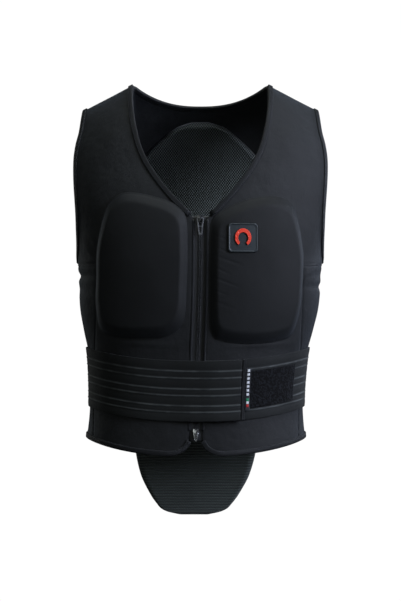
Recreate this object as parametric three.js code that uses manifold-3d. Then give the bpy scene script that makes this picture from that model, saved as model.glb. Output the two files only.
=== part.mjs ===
// Equestrian body protector, shown as worn: zip-front vest, chest pads, kidney belt, back plate.
// Units are millimetres, +Z is up, the front faces -Y and +X is the viewer's right.
// The origin lies on the shoulder seam plane, at shoulder level, on the middle of the neck.

import * as THREE from 'three'
import { mergeVertices } from 'three/addons/utils/BufferGeometryUtils.js'
import Module from 'manifold-3d'

const wasm = await Module()
wasm.setup()

// Overall form
const BODY_HEIGHT = 560
const WAIST_LEVEL = BODY_HEIGHT * 0.7875
const WAIST_TO_HEM = 97
const HEM_TO_TAIL = 140
const SLIDER_DROP = 6
const SLIDER_RISE = 14
const CHEST_HALF_WIDTH = 200
const CHEST_FRONT_DEPTH = 118
const CHEST_BACK_DEPTH = 118
const SIDE_LEAN = -11
const RIDGE_HEIGHT = 21
const NECK_HALF_WIDTH = 106
const SHOULDER_TIP = 187
const SHOULDER_DROP = 42
const SHOULDER_ROUND = 60
const SHOULDER_FADE = 150
const PIECE_GAP = 0.3

// Cloth and bound edges
const CLOTH_WALL = 2.5
const BINDING_WIDTH = 8
const BINDING_THICKNESS = 4.6
const PIPING_WIDTH = 4.5

// Neck and armholes
const NECK_DEPTH = 190
const BACK_NECK_DROP = 4
const ARMHOLE_BOTTOM = 254
const ARMHOLE_MIDDLE = 150
const ARMHOLE_REACH = 0.47
const ARMPIT_ANGLE = 98
const INSERT_TOP = 266
const INSERT_OVERLAP = 11
const INSERT_BOTTOM = WAIST_LEVEL + INSERT_OVERLAP
const INSERT_FRONT_X = CHEST_HALF_WIDTH * 0.795
const FRONT_SEAM_SHARE = 0.66

// Hem
const SIDE_HEM = WAIST_LEVEL + WAIST_TO_HEM
const FRONT_HEM_SAG = 22
const BACK_HEM_SAG = 45
const CORNER_WIDTH = 36
const CORNER_RISE = 26
const HEM_EASE = 0.8
const PIPING_RISE = 17
const PIPING_BOTTOM = SIDE_HEM - PIPING_RISE
const NECK_CORNER = 7

// Chest pads
const PAD_HEIGHT = 10
const PAD_RIM = 0.84
const PAD_CORNER_COUNT = 44

// Back protector
const PLATE_THICKNESS = 12
const PLATE_SEAT = 1.4
const PLATE_TOP = 26
const PLATE_BOTTOM = SIDE_HEM + HEM_TO_TAIL
const PLATE_HALF_WIDTH = 130

// Kidney belt
const BELT_HEIGHT = 94
const BELT_SIDE_LEVEL = WAIST_LEVEL
const BELT_FRONT_SAG = 18.5
const BELT_BACK_SAG = 8
const BELT_SEAT = CLOTH_WALL + 1.2
const BELT_THICKNESS = 2.4
const BELT_RIB = 0.9
const OVER_WING_END = 71
const UNDER_WING_END = 12
const PATCH_END = 144
const PATCH_START = 50
const PATCH_HEIGHT = 57
const PATCH_THICKNESS = 1.6
const HOOK_THICKNESS = 1.2
const WING_LIFT = BELT_THICKNESS + BELT_RIB + PATCH_THICKNESS + HOOK_THICKNESS + 4 * PIECE_GAP
const LABEL_WIDTH = 7
const LABEL_HEIGHT = 66

// Zip
const TAPE_HALF_WIDTH = 18
const TAPE_THICKNESS = 1
const COIL_WIDTH = 6
const COIL_THICKNESS = 2.2
const ZIP_SIDE = 8.5
const SLIDER_WIDTH = 9
const SLIDER_LENGTH = 13
const SLIDER_THICKNESS = 4
const BAIL_WIDTH = 2.2
const BAIL_HEIGHT = 4.4
const BAIL_LENGTH = 8
const BAIL_WALL = 1.3
const PULL_BAR = 2
const TOP_PULL_LENGTH = 26
const TOP_PULL_WIDTH = 11
const BOTTOM_PULL_LENGTH = 13
const BOTTOM_PULL_WIDTH = 8
const TOP_SLIDER_LEVEL = NECK_DEPTH + SLIDER_DROP
const BOTTOM_SLIDER_LEVEL = SIDE_HEM - SLIDER_RISE

// Badge
const BADGE_SIZE = 43
const BADGE_CORNER = 5
const BADGE_THICKNESS = 2
const BADGE_X = 63
const BADGE_LEVEL = 226
const EMBLEM_RADIUS = 9.5
const EMBLEM_BAND = 5
const EMBLEM_THICKNESS = 1
const EMBLEM_TURN = 145
const EMBLEM_STRETCH = 1.15

// Horizontal sections, from the shoulder ridge down. down is a share of the body's height, wide of
// the chest's half width, front and back of the chest's depths and lean of the side lean.
const SECTIONS = [
  { down: -0.0375, wide: 1.005, front: 0.56, back: 0.56, power: 2.4, lean: 0 },
  { down: 0.04, wide: 1.02, front: 0.64, back: 0.66, power: 2.4, lean: 0 },
  { down: 0.1, wide: 1.045, front: 0.74, back: 0.82, power: 2.4, lean: 0 },
  { down: 0.18, wide: 1.06, front: 0.84, back: 0.95, power: 2.4, lean: 0 },
  { down: 0.27, wide: 1.05, front: 0.93, back: 1.0, power: 2.4, lean: 0.02 },
  { down: 0.36, wide: 1.015, front: 0.985, back: 0.99, power: 2.4, lean: 0.03 },
  { down: 0.453, wide: 0.965, front: 1.0, back: 0.96, power: 2.4, lean: 0.06 },
  { down: 0.54, wide: 0.95, front: 0.985, back: 0.92, power: 2.4, lean: 0.12 },
  { down: 0.6, wide: 0.935, front: 0.965, back: 0.9, power: 2.4, lean: 0.2 },
  { down: 0.66, wide: 0.9, front: 0.94, back: 0.87, power: 2.4, lean: 0.3 },
  { down: 0.725, wide: 0.857, front: 0.91, back: 0.85, power: 2.4, lean: 0.42 },
  { down: 0.86, wide: 0.835, front: 0.885, back: 0.86, power: 2.4, lean: 0.58 },
  { down: 0.97, wide: 0.86, front: 0.915, back: 0.92, power: 2.4, lean: 0.66 },
  { down: 1.05, wide: 0.885, front: 0.94, back: 0.965, power: 2.4, lean: 0.76 },
  { down: 1.22, wide: 0.92, front: 0.97, back: 1.0, power: 2.4, lean: 1 },
]

// Opening edge of the V neck: down is a share of the neck depth, out of the neck's half width.
const NECKLINE = [
  { down: -0.11, out: 1.0 },
  { down: 0.1, out: 0.98 },
  { down: 0.27, out: 0.935 },
  { down: 0.46, out: 0.84 },
  { down: 0.63, out: 0.68 },
  { down: 0.8, out: 0.45 },
  { down: 0.96, out: 0.18 },
  { down: 1.0, out: 0.105 },
]

// Chest pad outlines, seen from the front. out is a share of the chest's half width and down of
// the body's height.
const LEFT_PAD = [
  { out: 0.555, down: 0.277 },
  { out: 0.66, down: 0.292 },
  { out: 0.725, down: 0.325 },
  { out: 0.785, down: 0.42 },
  { out: 0.79, down: 0.51 },
  { out: 0.79, down: 0.585 },
  { out: 0.745, down: 0.655 },
  { out: 0.6, down: 0.674 },
  { out: 0.42, down: 0.676 },
  { out: 0.22, down: 0.668 },
  { out: 0.115, down: 0.628 },
  { out: 0.098, down: 0.53 },
  { out: 0.095, down: 0.42 },
  { out: 0.112, down: 0.345 },
  { out: 0.2, down: 0.31 },
  { out: 0.37, down: 0.288 },
]
const RIGHT_PAD = [
  { out: 0.56, down: 0.287 },
  { out: 0.68, down: 0.302 },
  { out: 0.735, down: 0.335 },
  { out: 0.785, down: 0.435 },
  { out: 0.785, down: 0.52 },
  { out: 0.77, down: 0.6 },
  { out: 0.715, down: 0.665 },
  { out: 0.6, down: 0.684 },
  { out: 0.42, down: 0.69 },
  { out: 0.2, down: 0.683 },
  { out: 0.1, down: 0.655 },
  { out: 0.08, down: 0.54 },
  { out: 0.08, down: 0.41 },
  { out: 0.1, down: 0.352 },
  { out: 0.2, down: 0.322 },
  { out: 0.37, down: 0.296 },
]

// Half outline of the back protector: down is a share of its bottom level, out of its half width.
const PLATE_OUTLINE = [
  { down: 0.038, out: 0.1 },
  { down: 0.05, out: 0.3 },
  { down: 0.072, out: 0.46 },
  { down: 0.12, out: 0.72 },
  { down: 0.19, out: 0.9 },
  { down: 0.3, out: 1.0 },
  { down: 0.5, out: 0.98 },
  { down: 0.7, out: 0.87 },
  { down: 0.84, out: 0.775 },
  { down: 0.9, out: 0.7 },
  { down: 0.94, out: 0.6 },
  { down: 0.972, out: 0.49 },
  { down: 0.99, out: 0.38 },
  { down: 1.0, out: 0.16 },
]

// Rib lines of the belt, as shares of its height from the top edge.
const BELT_RIBS = [0.172, 0.287, 0.464, 0.574, 0.743, 0.848]
const RIB_HALF_SHARE = 0.022

const RADIANS = Math.PI / 180
const FRONT_ANGLE = 0
const SIDE_ANGLE = 90
const BACK_ANGLE = 180
const FULL_TURN = 360

const clamp = (value, low, high) => Math.min(high, Math.max(low, value))
const mix = (from, to, share) => from + (to - from) * share
const smooth = (low, high, value) => {
  const share = clamp((value - low) / (high - low), 0, 1)
  return share * share * (3 - 2 * share)
}

// Smooth curve through a table's rows, read at a place along one of its columns.
function readTable(rows, place, along, column) {
  const last = rows.length - 1
  const at = clamp(place, rows[0][along], rows[last][along])
  let index = rows.findIndex((row) => row[along] >= at)
  index = clamp(index, 1, last)
  const slope = (centre) => {
    const before = rows[Math.max(0, centre - 1)]
    const after = rows[Math.min(last, centre + 1)]
    return (after[column] - before[column]) / (after[along] - before[along])
  }
  const low = rows[index - 1]
  const high = rows[index]
  const span = high[along] - low[along]
  const t = (at - low[along]) / span
  const t2 = t * t
  const t3 = t2 * t
  return low[column] * (2 * t3 - 3 * t2 + 1) + slope(index - 1) * span * (t3 - 2 * t2 + t)
    + high[column] * (3 * t2 - 2 * t3) + slope(index) * span * (t3 - t2)
}

const sectionAt = (level, column) => readTable(SECTIONS, -level / BODY_HEIGHT, 'down', column)

// Size of the torso's horizontal section at a level.
function section(level) {
  const under = clamp((RIDGE_HEIGHT - level) / SHOULDER_ROUND, 0, 1)
  const round = Math.sqrt(1 - (1 - under) * (1 - under))
  return {
    wide: CHEST_HALF_WIDTH * sectionAt(level, 'wide'),
    front: CHEST_FRONT_DEPTH * sectionAt(level, 'front') * round,
    back: CHEST_BACK_DEPTH * sectionAt(level, 'back') * round,
    power: sectionAt(level, 'power'),
    lean: SIDE_LEAN * sectionAt(level, 'lean'),
  }
}

// Point of the torso's form. Angle 0 is the front middle, 90 the viewer's right, 180 the back.
function torso(angle, level) {
  const size = section(level)
  const sine = Math.sin(angle * RADIANS)
  const cosine = Math.cos(angle * RADIANS)
  const side = Math.sign(sine) * Math.abs(sine) ** (2 / size.power)
  const along = Math.sign(cosine) * Math.abs(cosine) ** (2 / size.power)
  const x = size.wide * side
  const depth = along > 0 ? size.front : size.back
  const fade = smooth(RIDGE_HEIGHT - SHOULDER_FADE, RIDGE_HEIGHT, level)
  const slope = SHOULDER_DROP / (SHOULDER_TIP - NECK_HALF_WIDTH)
  const drop = slope * Math.max(0, Math.abs(x) - NECK_HALF_WIDTH) * fade
  const y = -along * depth - Math.sign(along) * PIECE_GAP / 2
  return new THREE.Vector3(x + size.lean, y, level - drop)
}

// Outward direction of the torso's form.
function outward(angle, level) {
  const step = 0.4
  const high = Math.min(level + step, RIDGE_HEIGHT - 0.02)
  const low = high - 2 * step
  const around = torso(angle + step, level).sub(torso(angle - step, level))
  const up = torso(angle, high).sub(torso(angle, low))
  return around.cross(up).normalize()
}

const offTorso = (angle, level, offset) =>
  torso(angle, level).addScaledVector(outward(angle, level), offset)

// Angle from the front or back middle at which the form's section reaches a distance across.
function angleAcross(across, level) {
  const size = section(level)
  const share = clamp(Math.abs(across) / size.wide, 0, 1)
  const angle = Math.asin(share ** (size.power / 2)) / RADIANS
  return across < 0 ? -angle : angle
}

// Angle of a line beside the armhole's front edge, this far into the cloth; the back mirrors it.
function armholeAngle(level, inset) {
  const bottom = ARMHOLE_BOTTOM + inset
  const under = clamp((-ARMHOLE_MIDDLE - level) / (bottom - ARMHOLE_MIDDLE), 0, 1)
  const edge = Math.acos(ARMHOLE_REACH ** (section(level).power / 2)) / RADIANS
  const half = SIDE_ANGLE - edge + angleOf(inset, edge, level)
  return SIDE_ANGLE - half * Math.sqrt(1 - under * under)
}

// Angle by which a width across the cloth turns at a level and angle.
function angleOf(width, angle, level) {
  const step = 0.5
  const span = torso(angle + step, level).distanceTo(torso(angle - step, level))
  return width * 2 * step / span
}

const neckOut = (level) =>
  NECK_HALF_WIDTH * readTable(NECKLINE, -level / NECK_DEPTH, 'down', 'out')

// Distance across at which a line runs beside the V neck's opening edge, this far into the cloth.
function besideNeck(level, inset) {
  const step = 2
  const slope = (neckOut(level + step) - neckOut(level - step)) / (2 * step)
  return neckOut(level) + inset * Math.sqrt(1 + slope * slope)
}

// Level of a line that runs below the back neck's edge, this far into the cloth.
function belowBackNeck(across, inset) {
  const low = -BACK_NECK_DROP - inset
  const share = clamp(Math.abs(across) / (NECK_HALF_WIDTH + inset), 0, 1)
  return mix(low, RIDGE_HEIGHT, share ** 2.4)
}

// Level of the hem's lower edge, with the raised round corners at the zip.
function hemLevel(angle) {
  const turn = Math.cos(angle * RADIANS)
  const sag = turn > 0 ? FRONT_HEM_SAG : BACK_HEM_SAG
  const level = -SIDE_HEM - sag * turn * turn
  const across = Math.abs(torso(angle, level).x - section(level).lean) - ZIP_SIDE
  if (turn <= 0 || across >= CORNER_WIDTH) return level
  const share = clamp(1 - across / CORNER_WIDTH, 0, 1)
  return level + CORNER_RISE * (1 - Math.sqrt(1 - share * share * 0.98))
}

// Level of a line beside the hem's edge, this far into the cloth.
function aboveHem(angle, inset) {
  const step = 0.5
  const rise = hemLevel(angle + step) - hemLevel(angle - step)
  const span = torso(angle + step, -SIDE_HEM).distanceTo(torso(angle - step, -SIDE_HEM))
  const slope = clamp(rise / span, -1.5, 1.5)
  return hemLevel(angle) + inset * Math.sqrt(1 + slope * slope)
}

// Angle of the seam between front and back, and of the front panel's seam beside the insert.
function sideSeam(level) {
  const share = clamp((-INSERT_TOP - level) / (INSERT_BOTTOM - INSERT_TOP), 0, 1)
  return mix(ARMPIT_ANGLE, insertFront(level) + 1, share)
}
const insertFront = (level) => angleAcross(INSERT_FRONT_X, level)

// Closed mesh from vertices and faces, as one named piece.
function piece(name, vertices, faces, material) {
  const geometry = new THREE.BufferGeometry()
  const positions = vertices.flatMap((vertex) => [vertex.x, vertex.y, vertex.z])
  geometry.setAttribute('position', new THREE.Float32BufferAttribute(positions, 3))
  geometry.setIndex(faces.flat())
  if (volume(vertices, faces) < 0) geometry.setIndex(faces.flatMap(([a, b, c]) => [a, c, b]))
  geometry.computeVertexNormals()
  const mesh = new THREE.Mesh(geometry, material)
  mesh.name = name
  return mesh
}

function volume(vertices, faces) {
  const cross = new THREE.Vector3()
  return faces.reduce((sum, [a, b, c]) =>
    sum + cross.crossVectors(vertices[a], vertices[b]).dot(vertices[c]), 0)
}

// Closed wall over a grid of places. point(row, column, side) gives a vertex, side 0 inside and 1
// outside, and present(row, column) says whether the grid's cell is there.
function wall(name, rows, columns, point, material, present = () => true) {
  const vertices = []
  const faces = []
  const numbers = new Map()
  const vertex = (row, column, side) => {
    const key = `${row},${column},${side}`
    if (!numbers.has(key)) {
      numbers.set(key, vertices.length)
      vertices.push(point(row, column, side))
    }
    return numbers.get(key)
  }
  const quad = (a, b, c, d) => faces.push([a, b, c], [a, c, d])
  const there = (row, column) =>
    row >= 0 && column >= 0 && row < rows && column < columns && present(row, column)
  const edge = (from, to) => quad(
    vertex(...from, 0), vertex(...from, 1), vertex(...to, 1), vertex(...to, 0))
  for (let row = 0; row < rows; row++) {
    for (let column = 0; column < columns; column++) {
      if (!there(row, column)) continue
      const corners = [[row, column], [row, column + 1], [row + 1, column + 1], [row + 1, column]]
      quad(...corners.map((corner) => vertex(...corner, 1)))
      quad(...corners.toReversed().map((corner) => vertex(...corner, 0)))
      if (!there(row - 1, column)) edge(corners[1], corners[0])
      if (!there(row, column + 1)) edge(corners[2], corners[1])
      if (!there(row + 1, column)) edge(corners[3], corners[2])
      if (!there(row, column - 1)) edge(corners[0], corners[3])
    }
  }
  return piece(name, vertices, faces, material)
}

// Band of a flat rounded section along a path of places on the torso's form.
function band(name, path, width, thickness, seat, material, closed = false) {
  const places = path.map(([angle, level]) => ({
    point: torso(angle, level),
    out: outward(angle, level),
  }))
  const count = places.length
  const neighbour = (index) => closed ? (index + count) % count : clamp(index, 0, count - 1)
  const outline = [
    [-0.5, 0.2], [-0.5, 0.75], [-0.3, 1], [0.3, 1], [0.5, 0.75], [0.5, 0.2], [0.3, 0], [-0.3, 0],
  ]
  const vertices = []
  places.forEach(({ point, out }, index) => {
    const along = places[neighbour(index + 1)].point.clone()
      .sub(places[neighbour(index - 1)].point).normalize()
    const across = along.clone().cross(out).normalize()
    const up = across.clone().cross(along).normalize()
    outline.forEach(([side, high]) => vertices.push(point.clone()
      .addScaledVector(across, side * width).addScaledVector(up, seat + high * thickness)))
  })
  const sides = outline.length
  const faces = sweptFaces(count, sides, closed)
  if (!closed) {
    const end = (count - 1) * sides
    for (let side = 1; side < sides - 1; side++) {
      faces.push([0, side + 1, side], [end, end + side, end + side + 1])
    }
  }
  return piece(name, vertices, faces, material)
}

// Materials, each made for one piece
const cloth = (color, roughness = 0.75) =>
  new THREE.MeshStandardMaterial({ color, roughness, metalness: 0 })
const metal = (color) => new THREE.MeshStandardMaterial({ color, roughness: 0.3, metalness: 1 })
const PANEL_COLOR = 0x1b1e20
const BINDING_COLOR = 0x131414
const PAD_COLOR = 0x1d2023
const PLATE_COLOR = 0x232625
const BELT_COLOR = 0x17191a
const PATCH_COLOR = 0x101113
const LABEL_COLOR = 0x26282a
const ZIP_COLOR = 0x18191b
const SILVER_COLOR = 0xb4b6ba
const BADGE_COLOR = 0x1c2225
const EMBLEM_COLOR = 0xd8432b

// Levels of a front or back grid's rows, from the hem up, with fine rows round the armhole. The
// shares go from the insert's bottom to its top, and from the armhole's middle to the ridge.
const INSERT_SHARES = [0, 0.23, 0.44, 0.655, 0.83, 1]
const LOWER_LEVELS = [
  ...[0.209, 0.558].map((share) => -mix(SIDE_HEM, INSERT_BOTTOM, share)),
  ...INSERT_SHARES.map((share) => -mix(INSERT_BOTTOM, INSERT_TOP, share)),
]
const ARMHOLE_STEPS = 6
const UPPER_SHARES = [0.175, 0.35, 0.525, 0.67, 0.79, 0.877, 0.936, 0.977]
const UPPER_LEVELS = UPPER_SHARES.map((share) => mix(-ARMHOLE_MIDDLE, RIDGE_HEIGHT, share))

function armholeLevels(inset) {
  const levels = []
  for (let step = 0; step <= ARMHOLE_STEPS; step++) {
    const turn = (90 - 90 * step / ARMHOLE_STEPS) * RADIANS
    levels.push(-mix(ARMHOLE_MIDDLE, ARMHOLE_BOTTOM + inset, Math.sin(turn)))
  }
  return levels
}
const EDGE_INSET = BINDING_WIDTH + 2 * PIECE_GAP
const ROW_LEVELS = [
  ...LOWER_LEVELS, ...armholeLevels(EDGE_INSET), ...UPPER_LEVELS, RIDGE_HEIGHT,
]
const HEM_ROWS = 1
const PANEL_ROWS = ROW_LEVELS.length
const INSERT_ROW = LOWER_LEVELS.length

const overArmhole = (level) => level >= -ARMHOLE_BOTTOM - EDGE_INSET - 0.01

// Angle of a panel's armhole edge at a level, from its own middle, clear of the other panel.
const panelArmhole = (level) => Math.min(
  armholeAngle(level, EDGE_INSET), SIDE_ANGLE - angleOf(PIECE_GAP / 2, SIDE_ANGLE, level))

// Outer edge of the front panel at a level, as an angle.
function frontOuter(level) {
  if (overArmhole(level)) return panelArmhole(level)
  return sideSeam(level) - angleOf(PIECE_GAP / 2, ARMPIT_ANGLE, level)
}

function frontPanel(name, side) {
  const innerColumns = 8
  const outerColumns = 3
  const point = (row, column, wallSide) => {
    let level = ROW_LEVELS[Math.max(0, row - HEM_ROWS)]
    const zipAcross = ZIP_SIDE + PIPING_WIDTH + PIECE_GAP
    const neckAcross = besideNeck(level, EDGE_INSET)
    const across = Math.max(zipAcross, level > -NECK_DEPTH - EDGE_INSET ? neckAcross : 0)
    const inner = angleAcross(across, level)
    const outer = frontOuter(level)
    const low = level <= -INSERT_TOP
    const gap = angleOf(PIECE_GAP / 2, insertFront(level), level)
    const seam = low ? insertFront(level) - gap : mix(inner, outer, FRONT_SEAM_SHARE)
    const angle = column <= innerColumns
      ? mix(inner, seam, column / innerColumns)
      : mix(seam, outer, (column - innerColumns) / outerColumns)
    if (row < HEM_ROWS) level = aboveHem(angle, EDGE_INSET + 2 * PIECE_GAP)
    return offTorso(side * angle, level, wallSide * CLOTH_WALL)
  }
  const present = (row, column) => column < innerColumns || row >= INSERT_ROW
  return wall(name, PANEL_ROWS, innerColumns + outerColumns, point, cloth(PANEL_COLOR), present)
}

// Half of the back panel's edge angle at a level, measured from the back middle.
function backOuter(level) {
  if (overArmhole(level)) return panelArmhole(level)
  return BACK_ANGLE - sideSeam(level) - angleOf(PIECE_GAP / 2, ARMPIT_ANGLE, level)
}

function backPanel() {
  const columns = 16
  const neckShare = angleAcross(NECK_HALF_WIDTH + EDGE_INSET, RIDGE_HEIGHT)
    / backOuter(RIDGE_HEIGHT)
  const neckColumn = Math.round(neckShare * columns / 2)
  const eased = (share) => Math.sin(share * SIDE_ANGLE * RADIANS)
  const point = (row, column, wallSide) => {
    const index = Math.max(0, row - HEM_ROWS)
    const away = Math.abs(column - columns / 2)
    let level = ROW_LEVELS[index]
    if (away < neckColumn) {
      const across = (NECK_HALF_WIDTH + EDGE_INSET) * eased(away / neckColumn)
      const upper = ROW_LEVELS.indexOf(UPPER_LEVELS[0])
      const low = UPPER_LEVELS[0]
      const share = (belowBackNeck(across, EDGE_INSET) - low) / (RIDGE_HEIGHT - low)
      if (index > upper) level = low + (level - low) * share
    }
    const outer = backOuter(level)
    const neckAngle = Math.min(
      angleAcross(NECK_HALF_WIDTH + EDGE_INSET, Math.max(level, UPPER_LEVELS[0])),
      outer * 0.9)
    const rise = smooth(-ARMHOLE_BOTTOM, UPPER_LEVELS[0], level)
    const split = mix(outer * neckColumn * 2 / columns, neckAngle, rise)
    const turn = away <= neckColumn
      ? split * mix(away / neckColumn, eased(away / neckColumn), rise)
      : mix(split, outer, (away - neckColumn) / (columns / 2 - neckColumn))
    const angle = BACK_ANGLE + Math.sign(column - columns / 2) * turn
    if (row < HEM_ROWS) level = aboveHem(angle, EDGE_INSET + 2 * PIECE_GAP)
    return offTorso(angle, level, wallSide * CLOTH_WALL)
  }
  return wall('vest_back', PANEL_ROWS, columns, point, cloth(PANEL_COLOR))
}

function sideInsert(name, side) {
  const rows = INSERT_ROW - 2
  const columns = 3
  const point = (row, column, wallSide) => {
    const level = ROW_LEVELS[row + 2] - (row === rows - 1 ? PIECE_GAP : 0)
    const gap = angleOf(PIECE_GAP / 2, insertFront(level), level)
    const front = insertFront(level) + gap
    const back = sideSeam(level) - gap
    return offTorso(side * mix(front, back, column / columns), level, wallSide * CLOTH_WALL)
  }
  return wall(name, rows - 1, columns, point, cloth(PANEL_COLOR))
}

// Paths of the bound edges, as angles and levels of their middle lines
function neckPath() {
  const inset = BINDING_WIDTH / 2
  const side = []
  const steps = 14
  const bottom = -NECK_DEPTH
  for (let step = 0; step <= steps; step++) {
    const level = mix(bottom, RIDGE_HEIGHT, Math.sin(90 * step / steps * RADIANS) ** 0.9)
    side.push([angleAcross(besideNeck(level, inset), level), level])
  }
  const back = []
  const backSteps = 16
  for (let step = 1; step < backSteps; step++) {
    const across = (NECK_HALF_WIDTH + inset) * Math.cos(180 * step / backSteps * RADIANS)
    const level = belowBackNeck(across, inset)
    back.push([BACK_ANGLE - angleAcross(across, level), level])
  }
  const left = side.map(([angle, level]) => [-angle, level])
  return [...side, ...back, ...left.toReversed()]
}

function armholePath(side) {
  const inset = BINDING_WIDTH / 2
  const levels = [...armholeLevels(inset), ...UPPER_LEVELS, RIDGE_HEIGHT]
  const front = levels.map((level) => [armholeAngle(level, inset), level])
  const back = front.map(([angle, level]) => [BACK_ANGLE - angle, level])
  const loop = [...front, ...back.slice(1, -1).toReversed()]
  return loop.map(([angle, level]) => [side * angle, level])
}

function hemPath() {
  const path = []
  const steps = 50
  const start = angleAcross(ZIP_SIDE + 2, -SIDE_HEM)
  for (let step = 0; step <= steps; step++) {
    const even = step / steps
    const eased = (1 - Math.cos(BACK_ANGLE * even * RADIANS)) / 2
    const angle = mix(start, FULL_TURN - start, mix(even, eased, HEM_EASE))
    path.push([angle, aboveHem(angle, BINDING_WIDTH / 2)])
  }
  return path
}

function frontEdgePath(side) {
  const path = []
  const steps = 12
  for (let step = 0; step <= steps; step++) {
    const level = mix(-NECK_DEPTH - NECK_CORNER, -PIPING_BOTTOM, step / steps)
    path.push([side * angleAcross(ZIP_SIDE + PIPING_WIDTH / 2, level), level])
  }
  return path
}

// Chest pads: rings from the middle out over the panel, with a slanted rim.
const PAD_SEAT = CLOTH_WALL + 2 * PIECE_GAP

function padOutline(rows) {
  const points = rows.map(({ out, down }) =>
    new THREE.Vector2(out * CHEST_HALF_WIDTH, -down * BODY_HEIGHT))
  const curve = new THREE.CatmullRomCurve3(
    points.map((point) => new THREE.Vector3(point.x, point.y, 0)), true, 'centripetal')
  return curve.getSpacedPoints(PAD_CORNER_COUNT).slice(0, PAD_CORNER_COUNT)
}

function chestPad(name, rows, side) {
  const outline = padOutline(rows)
  const middle = outline.reduce((sum, point) => sum.add(point), new THREE.Vector3())
    .divideScalar(outline.length)
  const rings = [
    { share: 0.3, high: 1.08 }, { share: 0.58, high: 1.04 }, { share: PAD_RIM, high: 0.97 },
    { share: 0.9, high: 0.8 }, { share: 1, high: 0.12 },
  ]
  const vertices = []
  const onPad = (share, point, offset) => {
    const across = mix(middle.x, point.x, share)
    const level = mix(middle.y, point.y, share)
    vertices.push(offTorso(side * angleAcross(across, level), level, offset))
  }
  onPad(0, middle, PAD_SEAT + PAD_HEIGHT * 1.1)
  rings.forEach(({ share, high }) =>
    outline.forEach((point) => onPad(share, point, PAD_SEAT + PAD_HEIGHT * high)))
  const under = [1, 0.8, 0.6, 0.4, 0.2]
  under.forEach((share) => outline.forEach((point) => onPad(share, point, PAD_SEAT)))
  onPad(0, middle, PAD_SEAT)
  return piece(name, vertices, ringFaces(PAD_CORNER_COUNT, rings.length + under.length),
    cloth(PAD_COLOR))
}

// Faces of a stack of rings with a middle point before the first and after the last.
function ringFaces(count, rings) {
  const faces = []
  const last = 1 + rings * count
  for (let index = 0; index < count; index++) {
    const next = (index + 1) % count
    faces.push([0, 1 + index, 1 + next])
    for (let ring = 0; ring < rings - 1; ring++) {
      const a = 1 + ring * count + index
      const b = 1 + ring * count + next
      faces.push([a, a + count, b + count], [a, b + count, b])
    }
    faces.push([last, last - count + next, last - count + index])
  }
  return faces
}

// Back protector: one plate inside the back, from its arched top to the end of its tail.
function backProtector() {
  const rows = 22
  const columns = 8
  const outlineAt = (share) => readTable(PLATE_OUTLINE, share, 'down', 'out') * PLATE_HALF_WIDTH
  const top = PLATE_TOP / PLATE_BOTTOM
  const point = (row, column, wallSide) => {
    const turn = (1 - Math.cos(180 * row / rows * RADIANS)) / 2
    const share = mix(top, 1, mix(row / rows, turn, 0.6))
    const level = -share * PLATE_BOTTOM
    const side = column / columns * 2 - 1
    const across = outlineAt(share) * side
    const thin = Math.abs(side) === 1 || row === 0 || row === rows ? 0.45 : 1
    const offset = -PLATE_SEAT - (wallSide ? 0 : PLATE_THICKNESS * thin)
    return offTorso(BACK_ANGLE - angleAcross(across, level), level, offset)
  }
  return wall('back_protector', rows, columns, point, cloth(PLATE_COLOR, 0.85))
}

// Kidney belt: level of its middle line, and the ribbed profile across its height.
function beltLevel(angle) {
  const turn = Math.cos(angle * RADIANS)
  return -BELT_SIDE_LEVEL - (turn > 0 ? BELT_FRONT_SAG : BELT_BACK_SAG) * turn * turn
}

function beltProfile() {
  const ribs = BELT_RIBS.flatMap((share) => [
    { share: share - RIB_HALF_SHARE, high: 0 },
    { share, high: BELT_RIB },
    { share: share + RIB_HALF_SHARE, high: 0 },
  ])
  return [{ share: 0, high: -0.5 }, ...ribs, { share: 1, high: -0.5 }]
}

function beltPoint(angle, share, offset) {
  return offTorso(angle, beltLevel(angle) + BELT_HEIGHT * (0.5 - share), offset)
}

// Seat of the over wing: it climbs on to the under wing near the front.
function overSeat(angle) {
  const across = torso(angle, beltLevel(angle)).x
  return BELT_SEAT + WING_LIFT * smooth(-60, 30, angle > -90 ? across : -CHEST_HALF_WIDTH)
}

function beltWing(name, from, to, seat) {
  const outer = beltProfile()
  const inner = [{ share: 1 }, { share: 0.5 }, { share: 0 }]
  const steps = 24
  const vertices = []
  for (let step = 0; step <= steps; step++) {
    const angle = mix(from, to, step / steps)
    outer.forEach(({ share, high }) =>
      vertices.push(beltPoint(angle, share, seat(angle) + BELT_THICKNESS + high)))
    inner.forEach(({ share }) => vertices.push(beltPoint(angle, share, seat(angle))))
  }
  const faces = sweptFaces(steps + 1, outer.length + inner.length)
  const last = steps * (outer.length + inner.length)
  const ends = beltEnd(outer.length, inner.length)
  ends.forEach(([a, b, c]) => faces.push([a, c, b], [last + a, last + b, last + c]))
  return piece(name, vertices, faces, cloth(BELT_COLOR, 0.8))
}

// Faces of the belt's cut end: its three inner points fan out to the outer profile.
function beltEnd(outer, inner) {
  const faces = []
  const bottom = outer
  const middle = outer + 1
  const top = outer + inner - 1
  const half = Math.floor(outer / 2)
  for (let index = 0; index < outer - 1; index++) {
    faces.push([index, index + 1, index < half ? top : bottom])
  }
  faces.push([half, middle, top], [half, bottom, middle])
  return faces
}

// Faces between the sections of a swept form, each section a ring of the same count.
function sweptFaces(sections, sides, closed = false) {
  const faces = []
  for (let link = 0; link < (closed ? sections : sections - 1); link++) {
    const next = (link + 1) % sections
    for (let side = 0; side < sides; side++) {
      const other = (side + 1) % sides
      const a = link * sides + side
      const b = link * sides + other
      const c = next * sides + other
      const d = next * sides + side
      faces.push([a, b, c], [a, c, d])
    }
  }
  return faces
}

const acrossBelt = (across) => angleAcross(across, beltLevel(FRONT_ANGLE))
const beltSeam = angleOf(PIECE_GAP / 2, BACK_ANGLE, -BELT_SIDE_LEVEL)

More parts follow.
